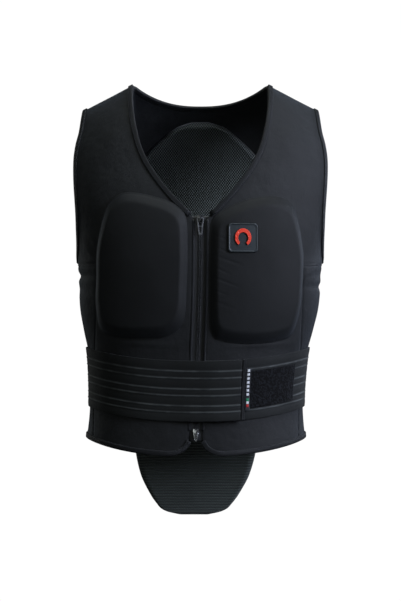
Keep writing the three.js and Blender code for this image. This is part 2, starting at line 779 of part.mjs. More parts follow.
// A strip that lies on the belt between two distances across.
function beltStrip(name, from, to, height, seat, thickness, material, steps = 6) {
  const point = (row, column, wallSide) => {
    const angle = acrossBelt(mix(from, to, row / steps))
    const share = 0.5 + (column - 1) * height / BELT_HEIGHT / 2
    return beltPoint(angle, share, seat + wallSide * thickness)
  }
  return wall(name, steps, 2, point, material)
}

function belt() {
  const group = new THREE.Group()
  const endWidth = 5
  const overEnd = OVER_WING_END - endWidth - PIECE_GAP
  const patchSeat = BELT_SEAT + BELT_THICKNESS + BELT_RIB + PIECE_GAP
  const hookSeat = patchSeat + PATCH_THICKNESS + PIECE_GAP
  group.add(beltWing('belt_over_wing', -BACK_ANGLE + beltSeam, acrossBelt(overEnd), overSeat))
  group.add(beltWing('belt_under_wing', acrossBelt(UNDER_WING_END), BACK_ANGLE - beltSeam,
    () => BELT_SEAT))
  group.add(beltStrip('belt_end_binding', overEnd + PIECE_GAP, OVER_WING_END, BELT_HEIGHT + 1,
    BELT_SEAT + WING_LIFT - 0.2, BELT_THICKNESS + 1.2, cloth(BINDING_COLOR), 1))
  group.add(beltStrip('belt_loop_patch', PATCH_START, PATCH_END, PATCH_HEIGHT, patchSeat,
    PATCH_THICKNESS, cloth(PATCH_COLOR, 0.95), 7))
  group.add(beltStrip('belt_hook_patch', PATCH_START + 1, OVER_WING_END - 7, PATCH_HEIGHT - 6,
    hookSeat, HOOK_THICKNESS, cloth(PATCH_COLOR, 0.95), 2))
  const labelStart = OVER_WING_END + 1.5
  group.add(beltStrip('belt_label', labelStart, labelStart + LABEL_WIDTH, LABEL_HEIGHT,
    patchSeat + PATCH_THICKNESS + PIECE_GAP, 0.6, cloth(LABEL_COLOR), 1))
  return group
}

// Solid of a flat outline with holes, its thickness centred on zero along the local Z axis.
function plate(outline, holes, thickness) {
  const points = outline.map(([x, y]) => new THREE.Vector2(x, y))
  if (THREE.ShapeUtils.isClockWise(points)) points.reverse()
  const shape = new THREE.Shape(points)
  holes.forEach((hole) =>
    shape.holes.push(new THREE.Path(hole.map(([x, y]) => new THREE.Vector2(x, y)))))
  const geometry = new THREE.ExtrudeGeometry(shape, { depth: thickness, bevelEnabled: false })
  return geometry.translate(0, 0, -thickness / 2)
}

// Manifold solid of a geometry, and the joined geometry of several.
function toSolid(geometry) {
  const bare = geometry.clone()
  bare.deleteAttribute('normal')
  bare.deleteAttribute('uv')
  const merged = mergeVertices(bare, 1e-4)
  return new wasm.Manifold(new wasm.Mesh({
    numProp: 3,
    vertProperties: new Float32Array(merged.attributes.position.array),
    triVerts: new Uint32Array(merged.index.array),
  }))
}

function joined(...geometries) {
  const solid = geometries.map(toSolid).reduce((sum, next) => sum.add(next))
  const { vertProperties, triVerts } = solid.getMesh()
  const geometry = new THREE.BufferGeometry()
  geometry.setAttribute('position', new THREE.BufferAttribute(vertProperties, 3))
  geometry.setIndex(new THREE.BufferAttribute(triVerts, 1))
  geometry.computeVertexNormals()
  return geometry
}

// Frame on the zip's line: X to the viewer's right, Y up along the cloth, Z outward.
function zipFrame(level) {
  const out = outward(FRONT_ANGLE, level)
  out.x = 0
  out.normalize()
  const right = new THREE.Vector3(1, 0, 0)
  const up = out.clone().cross(right)
  const frame = new THREE.Matrix4().makeBasis(right, up, out)
  return frame.setPosition(torso(FRONT_ANGLE, level))
}

function placed(name, geometry, material, frame) {
  const mesh = new THREE.Mesh(geometry, material)
  mesh.name = name
  mesh.applyMatrix4(frame)
  return mesh
}

const SLIDER_SEAT = 0.2
const PIN_HEIGHT = SLIDER_SEAT + SLIDER_THICKNESS + (BAIL_HEIGHT - BAIL_WALL) / 2

// Slider body, wide at its mouth, with the bail that its pull hangs from.
function slider(name, level, material) {
  const half = SLIDER_WIDTH / 2
  const long = SLIDER_LENGTH / 2
  const narrow = half * 0.62
  const outline = [
    [-narrow, -long], [narrow, -long], [half * 0.8, -long * 0.35], [half, long * 0.45],
    [half * 0.8, long], [half * 0.25, long * 0.8], [-half * 0.25, long * 0.8],
    [-half * 0.8, long], [-half, long * 0.45], [-half * 0.8, -long * 0.35],
  ]
  const body = plate(outline, [], SLIDER_THICKNESS)
    .translate(0, 0, SLIDER_SEAT + SLIDER_THICKNESS / 2)
  const end = BAIL_LENGTH / 2
  const inside = end - BAIL_WALL
  const sunk = -SLIDER_THICKNESS / 4
  const arch = plate([
    [-end, sunk], [-end, BAIL_HEIGHT], [end, BAIL_HEIGHT], [end, sunk],
    [inside, sunk], [inside, BAIL_HEIGHT - BAIL_WALL], [-inside, BAIL_HEIGHT - BAIL_WALL],
    [-inside, sunk],
  ], [], BAIL_WIDTH)
  arch.rotateX(90 * RADIANS).rotateZ(90 * RADIANS)
    .translate(0, 0, SLIDER_SEAT + SLIDER_THICKNESS)
  return placed(name, joined(body, arch), material, zipFrame(level))
}

// Tapered open pull whose top bar passes through the bail; its axis is the bar's middle.
function pull(name, level, length, width, material) {
  const top = width / 2
  const foot = top * 0.5
  const leg = 1.9
  const bar = PULL_BAR / 2
  const halfAt = (down) => mix(top, foot, down / length)
  const hole = (from, to) => [
    [-halfAt(from) + leg, -from], [halfAt(from) - leg, -from],
    [halfAt(to) - leg, -to], [-halfAt(to) + leg, -to],
  ]
  const middle = length * 0.48
  const bridge = 0.9
  const outline = [
    [-top + 0.8, bar], [top - 0.8, bar], [top, -bar], [foot, -length + 1.2],
    [foot * 0.6, -length], [-foot * 0.6, -length], [-foot, -length + 1.2], [-top, -bar],
  ]
  const windows = [hole(bar, middle - bridge), hole(middle + bridge, length - 3)]
  const geometry = plate(outline, windows, PULL_BAR).translate(0, 0, PIN_HEIGHT)
  return placed(name, geometry, material, zipFrame(level))
}

function tape(name, side) {
  const steps = 14
  const point = (row, column, wallSide) => {
    const level = mix(-NECK_DEPTH - 2, -SIDE_HEM + 2, row / steps)
    const across = mix(PIECE_GAP / 2, TAPE_HALF_WIDTH, column)
    const angle = side * angleAcross(across, level)
    return offTorso(angle, level, -PIECE_GAP - (1 - wallSide) * TAPE_THICKNESS)
  }
  return wall(name, steps, 1, point, cloth(ZIP_COLOR))
}

function zipCoil() {
  const steps = 20
  const top = -TOP_SLIDER_LEVEL - SLIDER_LENGTH / 2 - PIECE_GAP
  const bottom = -BOTTOM_SLIDER_LEVEL + SLIDER_LENGTH / 2 + PIECE_GAP
  const places = [-0.5, -0.32, 0, 0.32, 0.5]
  const heights = [0.5, 1, 0.8, 1, 0.5]
  const point = (row, column, wallSide) => {
    const level = mix(top, bottom, row / steps)
    const angle = angleAcross(places[column] * COIL_WIDTH, level)
    return offTorso(angle, level, wallSide * COIL_THICKNESS * heights[column])
  }
  return wall('zip_coil', steps, places.length - 1, point, cloth(ZIP_COLOR, 0.45))
}

// Square badge that follows the chest pad, and the raised horseshoe on it.
const BADGE_SEAT = PAD_SEAT + PAD_HEIGHT * 1.1 + PIECE_GAP

function badgePoint(x, y, offset) {
  const level = -BADGE_LEVEL + y
  return offTorso(angleAcross(BADGE_X + x, level), level, offset)
}

function badge() {
  const rim = []
  const corner = BADGE_SIZE / 2 - BADGE_CORNER
  const cornerSteps = 4
  for (let quarter = 0; quarter < 4; quarter++) {
    for (let step = 0; step <= cornerSteps; step++) {
      const turn = (quarter + step / cornerSteps) * 90 * RADIANS
      const centre = (quarter * 90 + 45) * RADIANS
      rim.push([
        Math.sign(Math.cos(centre)) * corner + BADGE_CORNER * Math.cos(turn),
        Math.sign(Math.sin(centre)) * corner + BADGE_CORNER * Math.sin(turn),
      ])
    }
  }
  const rings = [
    { share: 0.5, high: 1 }, { share: 0.95, high: 1 }, { share: 1, high: 0.7 },
    { share: 1, high: 0 }, { share: 0.5, high: 0 },
  ]
  const at = (share, [x, y], high) =>
    badgePoint(x * share, y * share, BADGE_SEAT + high * BADGE_THICKNESS)
  const vertices = [at(0, rim[0], 1)]
  rings.forEach(({ share, high }) => rim.forEach((spot) => vertices.push(at(share, spot, high))))
  vertices.push(at(0, rim[0], 0))
  return piece('badge', vertices, ringFaces(rim.length, rings.length), cloth(BADGE_COLOR))
}

function badgeEmblem() {
  const steps = 20
  const point = (row, column, wallSide) => {
    const turn = mix(-EMBLEM_TURN, EMBLEM_TURN, row / steps) * RADIANS
    const radius = EMBLEM_RADIUS + (column - 0.5) * EMBLEM_BAND
    const offset = BADGE_SEAT + BADGE_THICKNESS + PIECE_GAP + wallSide * EMBLEM_THICKNESS
    return badgePoint(radius * Math.sin(turn), radius * EMBLEM_STRETCH * Math.cos(turn), offset)
  }
  return wall('badge_emblem', steps, 1, point, cloth(EMBLEM_COLOR, 0.5))
}

// The whole body protector
const bound = () => cloth(BINDING_COLOR, 0.6)
const bodyProtector = new THREE.Group()
const sides = [['left', -1], ['right', 1]]
sides.forEach(([word, side]) => {
  bodyProtector.add(frontPanel(`vest_front_${word}`, side))
  bodyProtector.add(sideInsert(`side_insert_${word}`, side))
  bodyProtector.add(band(`armhole_binding_${word}`, armholePath(side), BINDING_WIDTH,
    BINDING_THICKNESS, 0, bound(), true))
  bodyProtector.add(band(`front_edge_binding_${word}`, frontEdgePath(side), PIPING_WIDTH,
    BINDING_THICKNESS - 1.4, 0, bound()))
  bodyProtector.add(tape(`zip_tape_${word}`, side))
})
bodyProtector.add(backPanel())
bodyProtector.add(band('neck_binding', neckPath(), BINDING_WIDTH, BINDING_THICKNESS, 0, bound()))
bodyProtector.add(band('hem_binding', hemPath(), BINDING_WIDTH, BINDING_THICKNESS, 0, bound()))
bodyProtector.add(chestPad('chest_pad_left', LEFT_PAD, -1))
bodyProtector.add(chestPad('chest_pad_right', RIGHT_PAD, 1))
bodyProtector.add(backProtector())
bodyProtector.add(belt())
bodyProtector.add(zipCoil())
bodyProtector.add(slider('zip_slider_top', -TOP_SLIDER_LEVEL, cloth(ZIP_COLOR, 0.35)))
bodyProtector.add(pull('zip_pull_top', -TOP_SLIDER_LEVEL, TOP_PULL_LENGTH, TOP_PULL_WIDTH,
  cloth(ZIP_COLOR, 0.35)))
bodyProtector.add(slider('zip_slider_bottom', -BOTTOM_SLIDER_LEVEL, metal(SILVER_COLOR)))
bodyProtector.add(pull('zip_pull_bottom', -BOTTOM_SLIDER_LEVEL, BOTTOM_PULL_LENGTH,
  BOTTOM_PULL_WIDTH, metal(SILVER_COLOR)))
bodyProtector.add(badge())
bodyProtector.add(badgeEmblem())

export default bodyProtector
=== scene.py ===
"""Equestrian body protector, worn form: cloth vest, chest pads, kidney belt, back plate, zip."""

import logging
import math
from dataclasses import dataclass, field
from enum import Enum
from functools import lru_cache
from typing import Callable, Iterable, Optional, Sequence

import bmesh
import bpy
from mathutils import Matrix, Vector, noise

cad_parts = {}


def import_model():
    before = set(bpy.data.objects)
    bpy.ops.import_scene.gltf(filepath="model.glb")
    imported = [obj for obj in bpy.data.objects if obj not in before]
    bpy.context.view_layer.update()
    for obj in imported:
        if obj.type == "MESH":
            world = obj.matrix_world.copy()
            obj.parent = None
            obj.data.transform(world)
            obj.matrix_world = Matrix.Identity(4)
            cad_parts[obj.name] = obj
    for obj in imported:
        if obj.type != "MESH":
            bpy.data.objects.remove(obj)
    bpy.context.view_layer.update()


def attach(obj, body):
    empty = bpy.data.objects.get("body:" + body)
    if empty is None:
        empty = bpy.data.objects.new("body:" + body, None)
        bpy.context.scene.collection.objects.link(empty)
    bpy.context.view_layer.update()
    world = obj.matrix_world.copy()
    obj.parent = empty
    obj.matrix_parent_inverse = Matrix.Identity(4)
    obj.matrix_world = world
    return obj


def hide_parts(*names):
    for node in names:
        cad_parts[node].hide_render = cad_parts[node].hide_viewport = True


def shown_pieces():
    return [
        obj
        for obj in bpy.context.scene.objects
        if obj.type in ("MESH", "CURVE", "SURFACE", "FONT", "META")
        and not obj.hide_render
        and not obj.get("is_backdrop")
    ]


LOG = logging.getLogger("body_protector")

MM = 0.001
SIDE_ANGLE = 90.0
BACK_ANGLE = 180.0
FULL_TURN = 360.0
DEGREES_A_RADIAN = 57.3
PIECE_GAP = 0.3
BAND_SIDES = 24
STITCH_PITCH = 3.0
STITCH_SIZE = (0.32, 0.36 * STITCH_PITCH, 0.28, 1.0)
OUTLINE_PARTS = 12
SIDES = (("left", -1), ("right", 1))
VEST = "vest"
TOP_PULL = "top_pull"
BOTTOM_PULL = "bottom_pull"

Place = Callable[[float, float, int], Vector]
Spot = tuple[float, float]


def clamp(value: float, low: float, high: float) -> float:
    """Keep a value between two limits."""
    return min(high, max(low, value))


def mix(start: float, end: float, share: float) -> float:
    """Go a share of the way from start to end."""
    return start + (end - start) * share


def smooth(low: float, high: float, value: float) -> float:
    """Ease from 0 at low to 1 at high."""
    share = clamp((value - low) / (high - low), 0.0, 1.0)
    return share * share * (3.0 - 2.0 * share)


def bell(distance: float, width: float) -> float:
    """Height of a soft bump at a distance from its middle."""
    return math.exp(-((distance / width) ** 2))


def bend(value: float, power: float) -> float:
    """Bend a sine or cosine towards a squarer section."""
    return math.copysign(abs(value) ** (2.0 / power), value)


def read_table(rows: Sequence[Sequence[float]], place: float, column: int) -> float:
    """Read one column of a table along a smooth curve through its rows.

    Args:
        rows: Rows whose first column rises.
        place: Where to read, in the first column's terms.
        column: The column to read.

    Returns:
        The column's value there.
    """
    last = len(rows) - 1
    at = clamp(place, rows[0][0], rows[last][0])
    index = next((i for i, row in enumerate(rows) if row[0] >= at), last)
    index = int(clamp(index, 1, last))

    def slope(centre: int) -> float:
        """Slope of the curve at a row."""
        before, after = rows[max(0, centre - 1)], rows[min(last, centre + 1)]
        return (after[column] - before[column]) / (after[0] - before[0])

    low, high = rows[index - 1], rows[index]
    span = high[0] - low[0]
    t = (at - low[0]) / span
    t2, t3 = t * t, t * t * t
    return (
        low[column] * (2 * t3 - 3 * t2 + 1)
        + slope(index - 1) * span * (t3 - 2 * t2 + t)
        + high[column] * (3 * t2 - 2 * t3)
        + slope(index) * span * (t3 - t2)
    )


@dataclass(frozen=True)
class Fold:
    """A soft fold or dent of the cloth, along a line between two spots (angle, level)."""

    start: Spot
    end: Spot
    width: float
    height: float

    def near(self, spot: Vector) -> tuple[float, float]:
        """Share of the way along the fold's line, and distance from it, of a spot."""
        start = Vector(self.start)
        line = Vector(self.end) - start
        share = clamp((spot - start).dot(line) / line.length_squared, 0.0, 1.0)
        return share, (spot - start - line * share).length


@dataclass(frozen=True)
class Torso:
    """The worn form that every piece follows; sizes in millimetres, levels from the shoulder."""

    height: float = 560.0
    half_width: float = 200.0
    front_depth: float = 118.0
    back_depth: float = 118.0
    side_lean: float = -11.0
    ridge: float = 21.0
    neck_half: float = 106.0
    shoulder_tip: float = 187.0
    shoulder_drop: float = 42.0
    shoulder_round: float = 60.0
    shoulder_fade: float = 150.0
    neck_depth: float = 190.0
    back_neck_drop: float = 4.0
    armhole_bottom: float = 254.0
    armhole_middle: float = 150.0
    armhole_reach: float = 0.47
    armpit_angle: float = 98.0
    insert_top: float = 266.0
    insert_bottom: float = 452.0
    insert_front_x: float = 159.0
    side_hem: float = 538.0
    front_hem_sag: float = 22.0
    back_hem_sag: float = 45.0
    corner_width: float = 36.0
    corner_rise: float = 26.0
    zip_side: float = 8.5
    power: float = 2.4
    path_drop: float = 0.02
    crown_drop: float = 0.0004
    # Columns: share of the height down, then wide, front, back and lean shares.
    sections: tuple = (
        (-0.0375, 1.005, 0.56, 0.56, 0.0),
        (0.04, 1.02, 0.64, 0.66, 0.0),
        (0.1, 1.045, 0.74, 0.82, 0.0),
        (0.18, 1.06, 0.84, 0.95, 0.0),
        (0.27, 1.05, 0.93, 1.0, 0.02),
        (0.36, 1.015, 0.985, 0.99, 0.03),
        (0.453, 0.965, 1.0, 0.96, 0.06),
        (0.54, 0.95, 0.985, 0.92, 0.12),
        (0.6, 0.935, 0.965, 0.9, 0.2),
        (0.66, 0.9, 0.94, 0.87, 0.3),
        (0.725, 0.857, 0.91, 0.85, 0.42),
        (0.86, 0.835, 0.885, 0.86, 0.58),
        (0.97, 0.86, 0.915, 0.92, 0.66),
        (1.05, 0.885, 0.94, 0.965, 0.76),
        (1.22, 0.92, 0.97, 1.0, 1.0),
    )
    # Columns: share of the neck depth down, share of the neck's half width out.
    neckline: tuple = (
        (-0.11, 1.0), (0.1, 0.98), (0.27, 0.935), (0.46, 0.84),
        (0.63, 0.68), (0.8, 0.45), (0.96, 0.18), (1.0, 0.105),
    )

    @property
    def path_top(self) -> float:
        """Highest level of a path or a direction on the form, a little under the ridge."""
        return self.ridge - self.path_drop

    @property
    def crown(self) -> float:
        """Highest level of the cloth, where front and back all but meet."""
        return self.ridge - self.crown_drop

    @lru_cache(maxsize=None)
    def section(self, level: float) -> tuple[float, float, float, float]:
        """Half width, front depth, back depth and lean of the section at a level."""
        down = -level / self.height
        under = clamp((self.ridge - level) / self.shoulder_round, 0.0, 1.0)
        curve = math.sqrt(1.0 - (1.0 - under) ** 2)
        return (
            self.half_width * read_table(self.sections, down, 1),
            self.front_depth * read_table(self.sections, down, 2) * curve,
            self.back_depth * read_table(self.sections, down, 3) * curve,
            self.side_lean * read_table(self.sections, down, 4),
        )

    def point(self, angle: float, level: float) -> Vector:
        """Point of the form; angle 0 is the front middle, 90 the viewer's right."""
        wide, front, back, lean = self.section(round(level, 4))
        along = bend(math.cos(math.radians(angle)), self.power)
        x = wide * bend(math.sin(math.radians(angle)), self.power)
        fade = smooth(self.ridge - self.shoulder_fade, self.ridge, level)
        slope = self.shoulder_drop / (self.shoulder_tip - self.neck_half)
        drop = slope * max(0.0, abs(x) - self.neck_half) * fade
        depth = front if along > 0 else back
        y = -along * depth - math.copysign(PIECE_GAP / 2, along)
        return Vector((x + lean, y, level - drop))

    def outward(self, angle: float, level: float) -> Vector:
        """Outward direction of the form."""
        step = 0.4
        high = min(level + step, self.path_top)
        around = self.point(angle + step, level) - self.point(angle - step, level)
        up = self.point(angle, high) - self.point(angle, high - 2 * step)
        return around.cross(up).normalized()

    def off(self, angle: float, level: float, offset: float) -> Vector:
        """Point at an offset outside the form."""
        return self.point(angle, level) + self.outward(angle, level) * offset

    def across(self, distance: float, level: float) -> float:
        """Angle at which the form reaches a distance from its middle."""
        share = clamp(abs(distance) / self.section(round(level, 4))[0], 0.0, 1.0)
        angle = math.degrees(math.asin(share ** (self.power / 2.0)))
        return math.copysign(angle, distance)

    def angle_of(self, width: float, angle: float, level: float) -> float:
        """Angle that a width of cloth takes up."""
        step = 0.5
        span = (self.point(angle + step, level) - self.point(angle - step, level)).length
        return width * 2 * step / span

    @lru_cache(maxsize=None)
    def armhole(self, level: float, inset: float) -> float:
        """Angle of a line beside the armhole's front edge, this far into the cloth."""
        bottom = self.armhole_bottom + inset
        middle = self.armhole_middle
        under = clamp((-middle - level) / (bottom - middle), 0.0, 1.0)
        edge = math.degrees(math.acos(self.armhole_reach ** (self.power / 2.0)))
        half = SIDE_ANGLE - edge + self.angle_of(inset, edge, level)
        return SIDE_ANGLE - half * math.sqrt(1.0 - under * under)

    def neck_out(self, level: float) -> float:
        """Half width of the V neck's opening."""
        return self.neck_half * read_table(self.neckline, -level / self.neck_depth, 1)

    def beside_neck(self, level: float, inset: float) -> float:
        """Distance across of a line beside the V neck's edge."""
        step = 2.0
        slope = (self.neck_out(level + step) - self.neck_out(level - step)) / (2 * step)
        return self.neck_out(level) + inset * math.sqrt(1.0 + slope * slope)

    def below_neck(self, across: float, inset: float) -> float:
        """Level of a line below the back neck's edge."""
        low = -self.back_neck_drop - inset
        share = clamp(abs(across) / (self.neck_half + inset), 0.0, 1.0)
        return mix(low, self.ridge, share**2.4)

    def hem(self, angle: float) -> float:
        """Level of the hem's lower edge."""
        turn = math.cos(math.radians(angle))
        sag = self.front_hem_sag if turn > 0 else self.back_hem_sag
        level = -self.side_hem - sag * turn * turn
        lean = self.section(round(level, 4))[3]
        across = abs(self.point(angle, level).x - lean) - self.zip_side
        if turn <= 0 or across >= self.corner_width:
            return level
        share = clamp(1.0 - across / self.corner_width, 0.0, 1.0)
        return level + self.corner_rise * (1.0 - math.sqrt(1.0 - share * share * 0.98))

    def above_hem(self, angle: float, inset: float) -> float:
        """Level of a line beside the hem's edge, this far into the cloth."""
        step = 0.5
        rise = self.hem(angle + step) - self.hem(angle - step)
        low = self.point(angle - step, -self.side_hem)
        span = (self.point(angle + step, -self.side_hem) - low).length
        slope = clamp(rise / span, -1.5, 1.5)
        return self.hem(angle) + inset * math.sqrt(1.0 + slope * slope)

    def insert_front(self, level: float) -> float:
        """Angle of the front panel's seam beside the side insert."""
        return self.across(self.insert_front_x, level)

    def side_seam(self, level: float) -> float:
        """Angle of the seam in front of the back panel."""
        span = self.insert_bottom - self.insert_top
        share = clamp((-self.insert_top - level) / span, 0.0, 1.0)
        return mix(self.armpit_angle, self.insert_front(level) + 1.0, share)


FORM = Torso()


@dataclass
class Mesher:
    """Makes objects from grids that are bent to a place by a function."""

    look: "Finish"
    slot: str
    body: str = VEST

    def finish(
        self, bm: bmesh.types.BMesh, name: str, nodes: Iterable[str] = ()
    ) -> bpy.types.Object:
        """Turn a mesh in millimetres into a riding, dressed object.

        Args:
            bm: The mesh, which is freed.
            name: The piece's name.
            nodes: CAD nodes that it stands for.

        Returns:
            The new object.
        """
        bmesh.ops.scale(bm, vec=Vector((MM, MM, MM)), verts=bm.verts)
        mesh = bpy.data.meshes.new(name)
        for face in bm.faces:
            face.smooth = True
        bm.to_mesh(mesh)
        bm.free()
        piece = bpy.data.objects.new(name, mesh)
        bpy.context.scene.collection.objects.link(piece)
        mesh.materials.append(self.look.material)
        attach(piece, self.body)
        if nodes:
            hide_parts(*nodes)
        return piece

    def sheet(
        self,
        name: str,
        columns: int,
        rows: int,
        place: Place,
        size: Spot = (100.0, 100.0),
        nodes: Iterable[str] = (),
        keep: Optional[Callable[[float, float], bool]] = None,
        edge: float = 0.5,
        paint: Optional[dict] = None,
    ) -> bpy.types.Object:
        """Make a closed sheet with an outer and an inner face.

        Args:
            name: The piece's name.
            columns: Faces across.
            rows: Faces along.
            place: Gives the point for shares across and along, and side 1 outside or 0 inside.
            size: The sheet's flat width and length, for its pattern.
            nodes: CAD nodes that it stands for.
            keep: Says which shares the sheet covers, or None for all.
            edge: Width of the rounding of its sharp edges.
            paint: Attributes of its points, each a name and a function of the shares.

        Returns:
            The new object.
        """
        bm = bmesh.new()
        bmesh.ops.create_grid(bm, x_segments=columns, y_segments=rows, size=1.0)
        layers = {name: bm.verts.layers.float.new(name) for name in paint or {}}
        spot = bm.verts.layers.float_vector.new("spot")
        for vert in bm.verts:
            vert[spot] = Vector(((vert.co.x + 1) / 2, (vert.co.y + 1) / 2, 0.0))
            for layer, value in layers.items():
                vert[value] = paint[layer](vert[spot].x, vert[spot].y)
        self._lay_pattern(bm, size)
        if keep:
            left_out = [
                face
                for face in bm.faces
                if not keep(*((face.calc_center_median() + Vector((1, 1, 0))) / 2)[:2])
            ]
            bmesh.ops.delete(bm, geom=left_out, context="FACES")
        outer = list(bm.verts)
        made = bmesh.ops.extrude_face_region(bm, geom=list(bm.faces))
        inner = {item for item in made["geom"] if isinstance(item, bmesh.types.BMVert)}
        for vert in outer:
            vert.co = place(vert[spot].x, vert[spot].y, 1)
        for vert in inner:
            vert.co = place(vert[spot].x, vert[spot].y, 0)
        bmesh.ops.recalc_face_normals(bm, faces=bm.faces)
        piece = self.finish(bm, name, nodes)
        if edge:
            self.round_edges(piece, edge)
        return piece

    @staticmethod
    def _lay_pattern(bm: bmesh.types.BMesh, size: Spot) -> None:
        """Store each corner's place on the flat cloth, in metres."""
        flat = bm.loops.layers.uv.new("cloth")
        for face in bm.faces:
            for loop in face.loops:
                u, v = (loop.vert.co.x + 1) / 2, (loop.vert.co.y + 1) / 2
                loop[flat].uv = (u * size[0] * MM, v * size[1] * MM)

    @staticmethod
    def round_edges(piece: bpy.types.Object, width: float) -> None:
        """Round a piece's sharp edges with a bevel."""
        bevel = piece.modifiers.new("rounding", "BEVEL")
        bevel.width = width * MM
        bevel.segments = 2
        bevel.limit_method = "ANGLE"
        bevel.angle_limit = math.radians(50)

    def band(
        self,
        name: str,
        path: Sequence[Spot],
        width: float,
        thickness: float,
        seat: float,
        closed: bool = False,
        nodes: Iterable[str] = (),
        power: float = 5.0,
    ) -> bpy.types.Object:
        """Sweep a soft flat section along a path on the form.

        Args:
            name: The piece's name.
            path: Spots (angle, level) along the band's middle.
            width: Width of the band on the cloth.
            thickness: Height of the band off the cloth.
            seat: Offset of its underside from the form.
            closed: Whether the path closes on itself.
            nodes: CAD nodes that it stands for.
            power: Squareness of the section.

        Returns:
            The new object.
        """
        frames = path_frames(path, closed)
        length = sum((b[0] - a[0]).length for a, b in zip(frames, frames[1:]))
        rows = len(frames) if closed else len(frames) - 1
        bm = bmesh.new()
        bmesh.ops.create_grid(bm, x_segments=BAND_SIDES, y_segments=rows, size=1.0)
        self._lay_pattern(bm, (2 * (width + thickness), length))
        for vert in bm.verts:
            turn = (vert.co.x + 1) * math.pi
            row = round((vert.co.y + 1) / 2 * rows) % len(frames)
            point, across, up = frames[row]
            side = bend(math.cos(turn), power) * width / 2
            high = bend(math.sin(turn), power) * thickness / 2
            vert.co = point + across * side + up * (seat + thickness / 2 + high)
        bmesh.ops.remove_doubles(bm, verts=bm.verts, dist=1e-4)
        rim = [each for each in bm.edges if each.is_boundary]
        if rim:
            bmesh.ops.holes_fill(bm, edges=rim, sides=0)
        bmesh.ops.recalc_face_normals(bm, faces=bm.faces)
        return self.finish(bm, name, nodes)

    def stitches(self, name: str, path: Sequence[Spot], offset: float) -> bpy.types.Object:
        """Lay a row of thread stitches along a path on the form.

        Args:
            name: The row's name.
            path: Spots (angle, level) that the row follows.
            offset: Height of the thread's middle off the form.

        Returns:
            The new object.
        """
        frames = path_frames(path, False)
        bm = bmesh.new()
        due = STITCH_PITCH / 2
        for (start, across, up), (end, _, _) in zip(frames, frames[1:]):
            along = end - start
            while due < along.length:
                middle = start + along.normalized() * due + up * offset
                turn = Matrix((across, along.normalized(), up)).transposed().to_4x4()
                place = Matrix.Translation(middle) @ turn @ Matrix.Diagonal(STITCH_SIZE)
                bmesh.ops.create_icosphere(bm, subdivisions=1, radius=1.0, matrix=place)
                due += STITCH_PITCH
            due -= along.length
        return self.finish(bm, name)


def path_frames(path: Sequence[Spot], closed: bool) -> list[tuple[Vector, Vector, Vector]]:
    """Point, direction across and direction up of each spot of a path on the form.

    Args:
        path: Spots (angle, level).
        closed: Whether the path closes on itself.

    Returns:
        One (point, across, up) for each spot.
    """
    points = [FORM.point(angle, level) for angle, level in path]
    frames = []
    last = len(points) - 1
    for index, (angle, level) in enumerate(path):
        after = points[(index + 1) % len(points)] if closed else points[min(index + 1, last)]
        before = points[index - 1] if closed else points[max(index - 1, 0)]
        along = (after - before).normalized()
        across = along.cross(FORM.outward(angle, level)).normalized()
        frames.append((points[index], across, across.cross(along).normalized()))
    return frames


def refine(path: Sequence[Spot], parts: int) -> list[Spot]:
    """Add spots between the spots of a closed path, on a smooth curve through them.

    Args:
        path: The path's spots.
        parts: Parts that each stretch is cut into.

    Returns:
        The finer path.
    """
    count = len(path)
    fine = []
    for index in range(count):
        near = [path[(index + step) % count] for step in (-1, 0, 1, 2)]
        for part in range(parts):
            t = part / parts
            fine.append(tuple(curve_value([spot[axis] for spot in near], t) for axis in (0, 1)))
    return fine


def curve_value(values: Sequence[float], t: float) -> float:
    """Value of a Catmull-Rom curve between the middle two of four values."""
    a, b, c, d = values
    return 0.5 * (
        2 * b + (c - a) * t + (2 * a - 5 * b + 4 * c - d) * t * t + (3 * b - 3 * c + d - a) * t**3
    )


class Value:
    """A shader value, which adds its Math nodes as an expression is written."""

    def __init__(self, shader: "Shader", socket: bpy.types.NodeSocket) -> None:
        """Wrap an output socket of a shader."""
        self.shader = shader
        self.socket = socket

    def _math(self, operation: str, *values: object) -> "Value":
        """Add a Math node on the values given."""
        return self.shader.add("ShaderNodeMath", {"operation": operation}, dict(enumerate(values)))

    def __add__(self, other: object) -> "Value":
        """Sum."""
        return self._math("ADD", self, other)

    def __sub__(self, other: object) -> "Value":
        """Difference."""
        return self._math("SUBTRACT", self, other)

    def __rsub__(self, other: object) -> "Value":
        """Difference, the other way round."""
        return self._math("SUBTRACT", other, self)

    def __mul__(self, other: object) -> "Value":
        """Product."""
        return self._math("MULTIPLY", self, other)

    def sine(self) -> "Value":
        """Sine."""
        return self._math("SINE", self)

    def size(self) -> "Value":
        """Value without its sign."""
        return self._math("ABSOLUTE", self)

    def at_most(self, other: object) -> "Value":
        """The smaller of two values."""
        return self._math("MINIMUM", self, other)

    def step(self, low: float, high: float) -> "Value":
        """Ease from 0 at low to 1 at high."""
        settings = {"interpolation_type": "SMOOTHSTEP"}
        inputs = {0: self, 1: low, 2: high, 3: 0.0, 4: 1.0}
        return self.shader.add("ShaderNodeMapRange", settings, inputs)


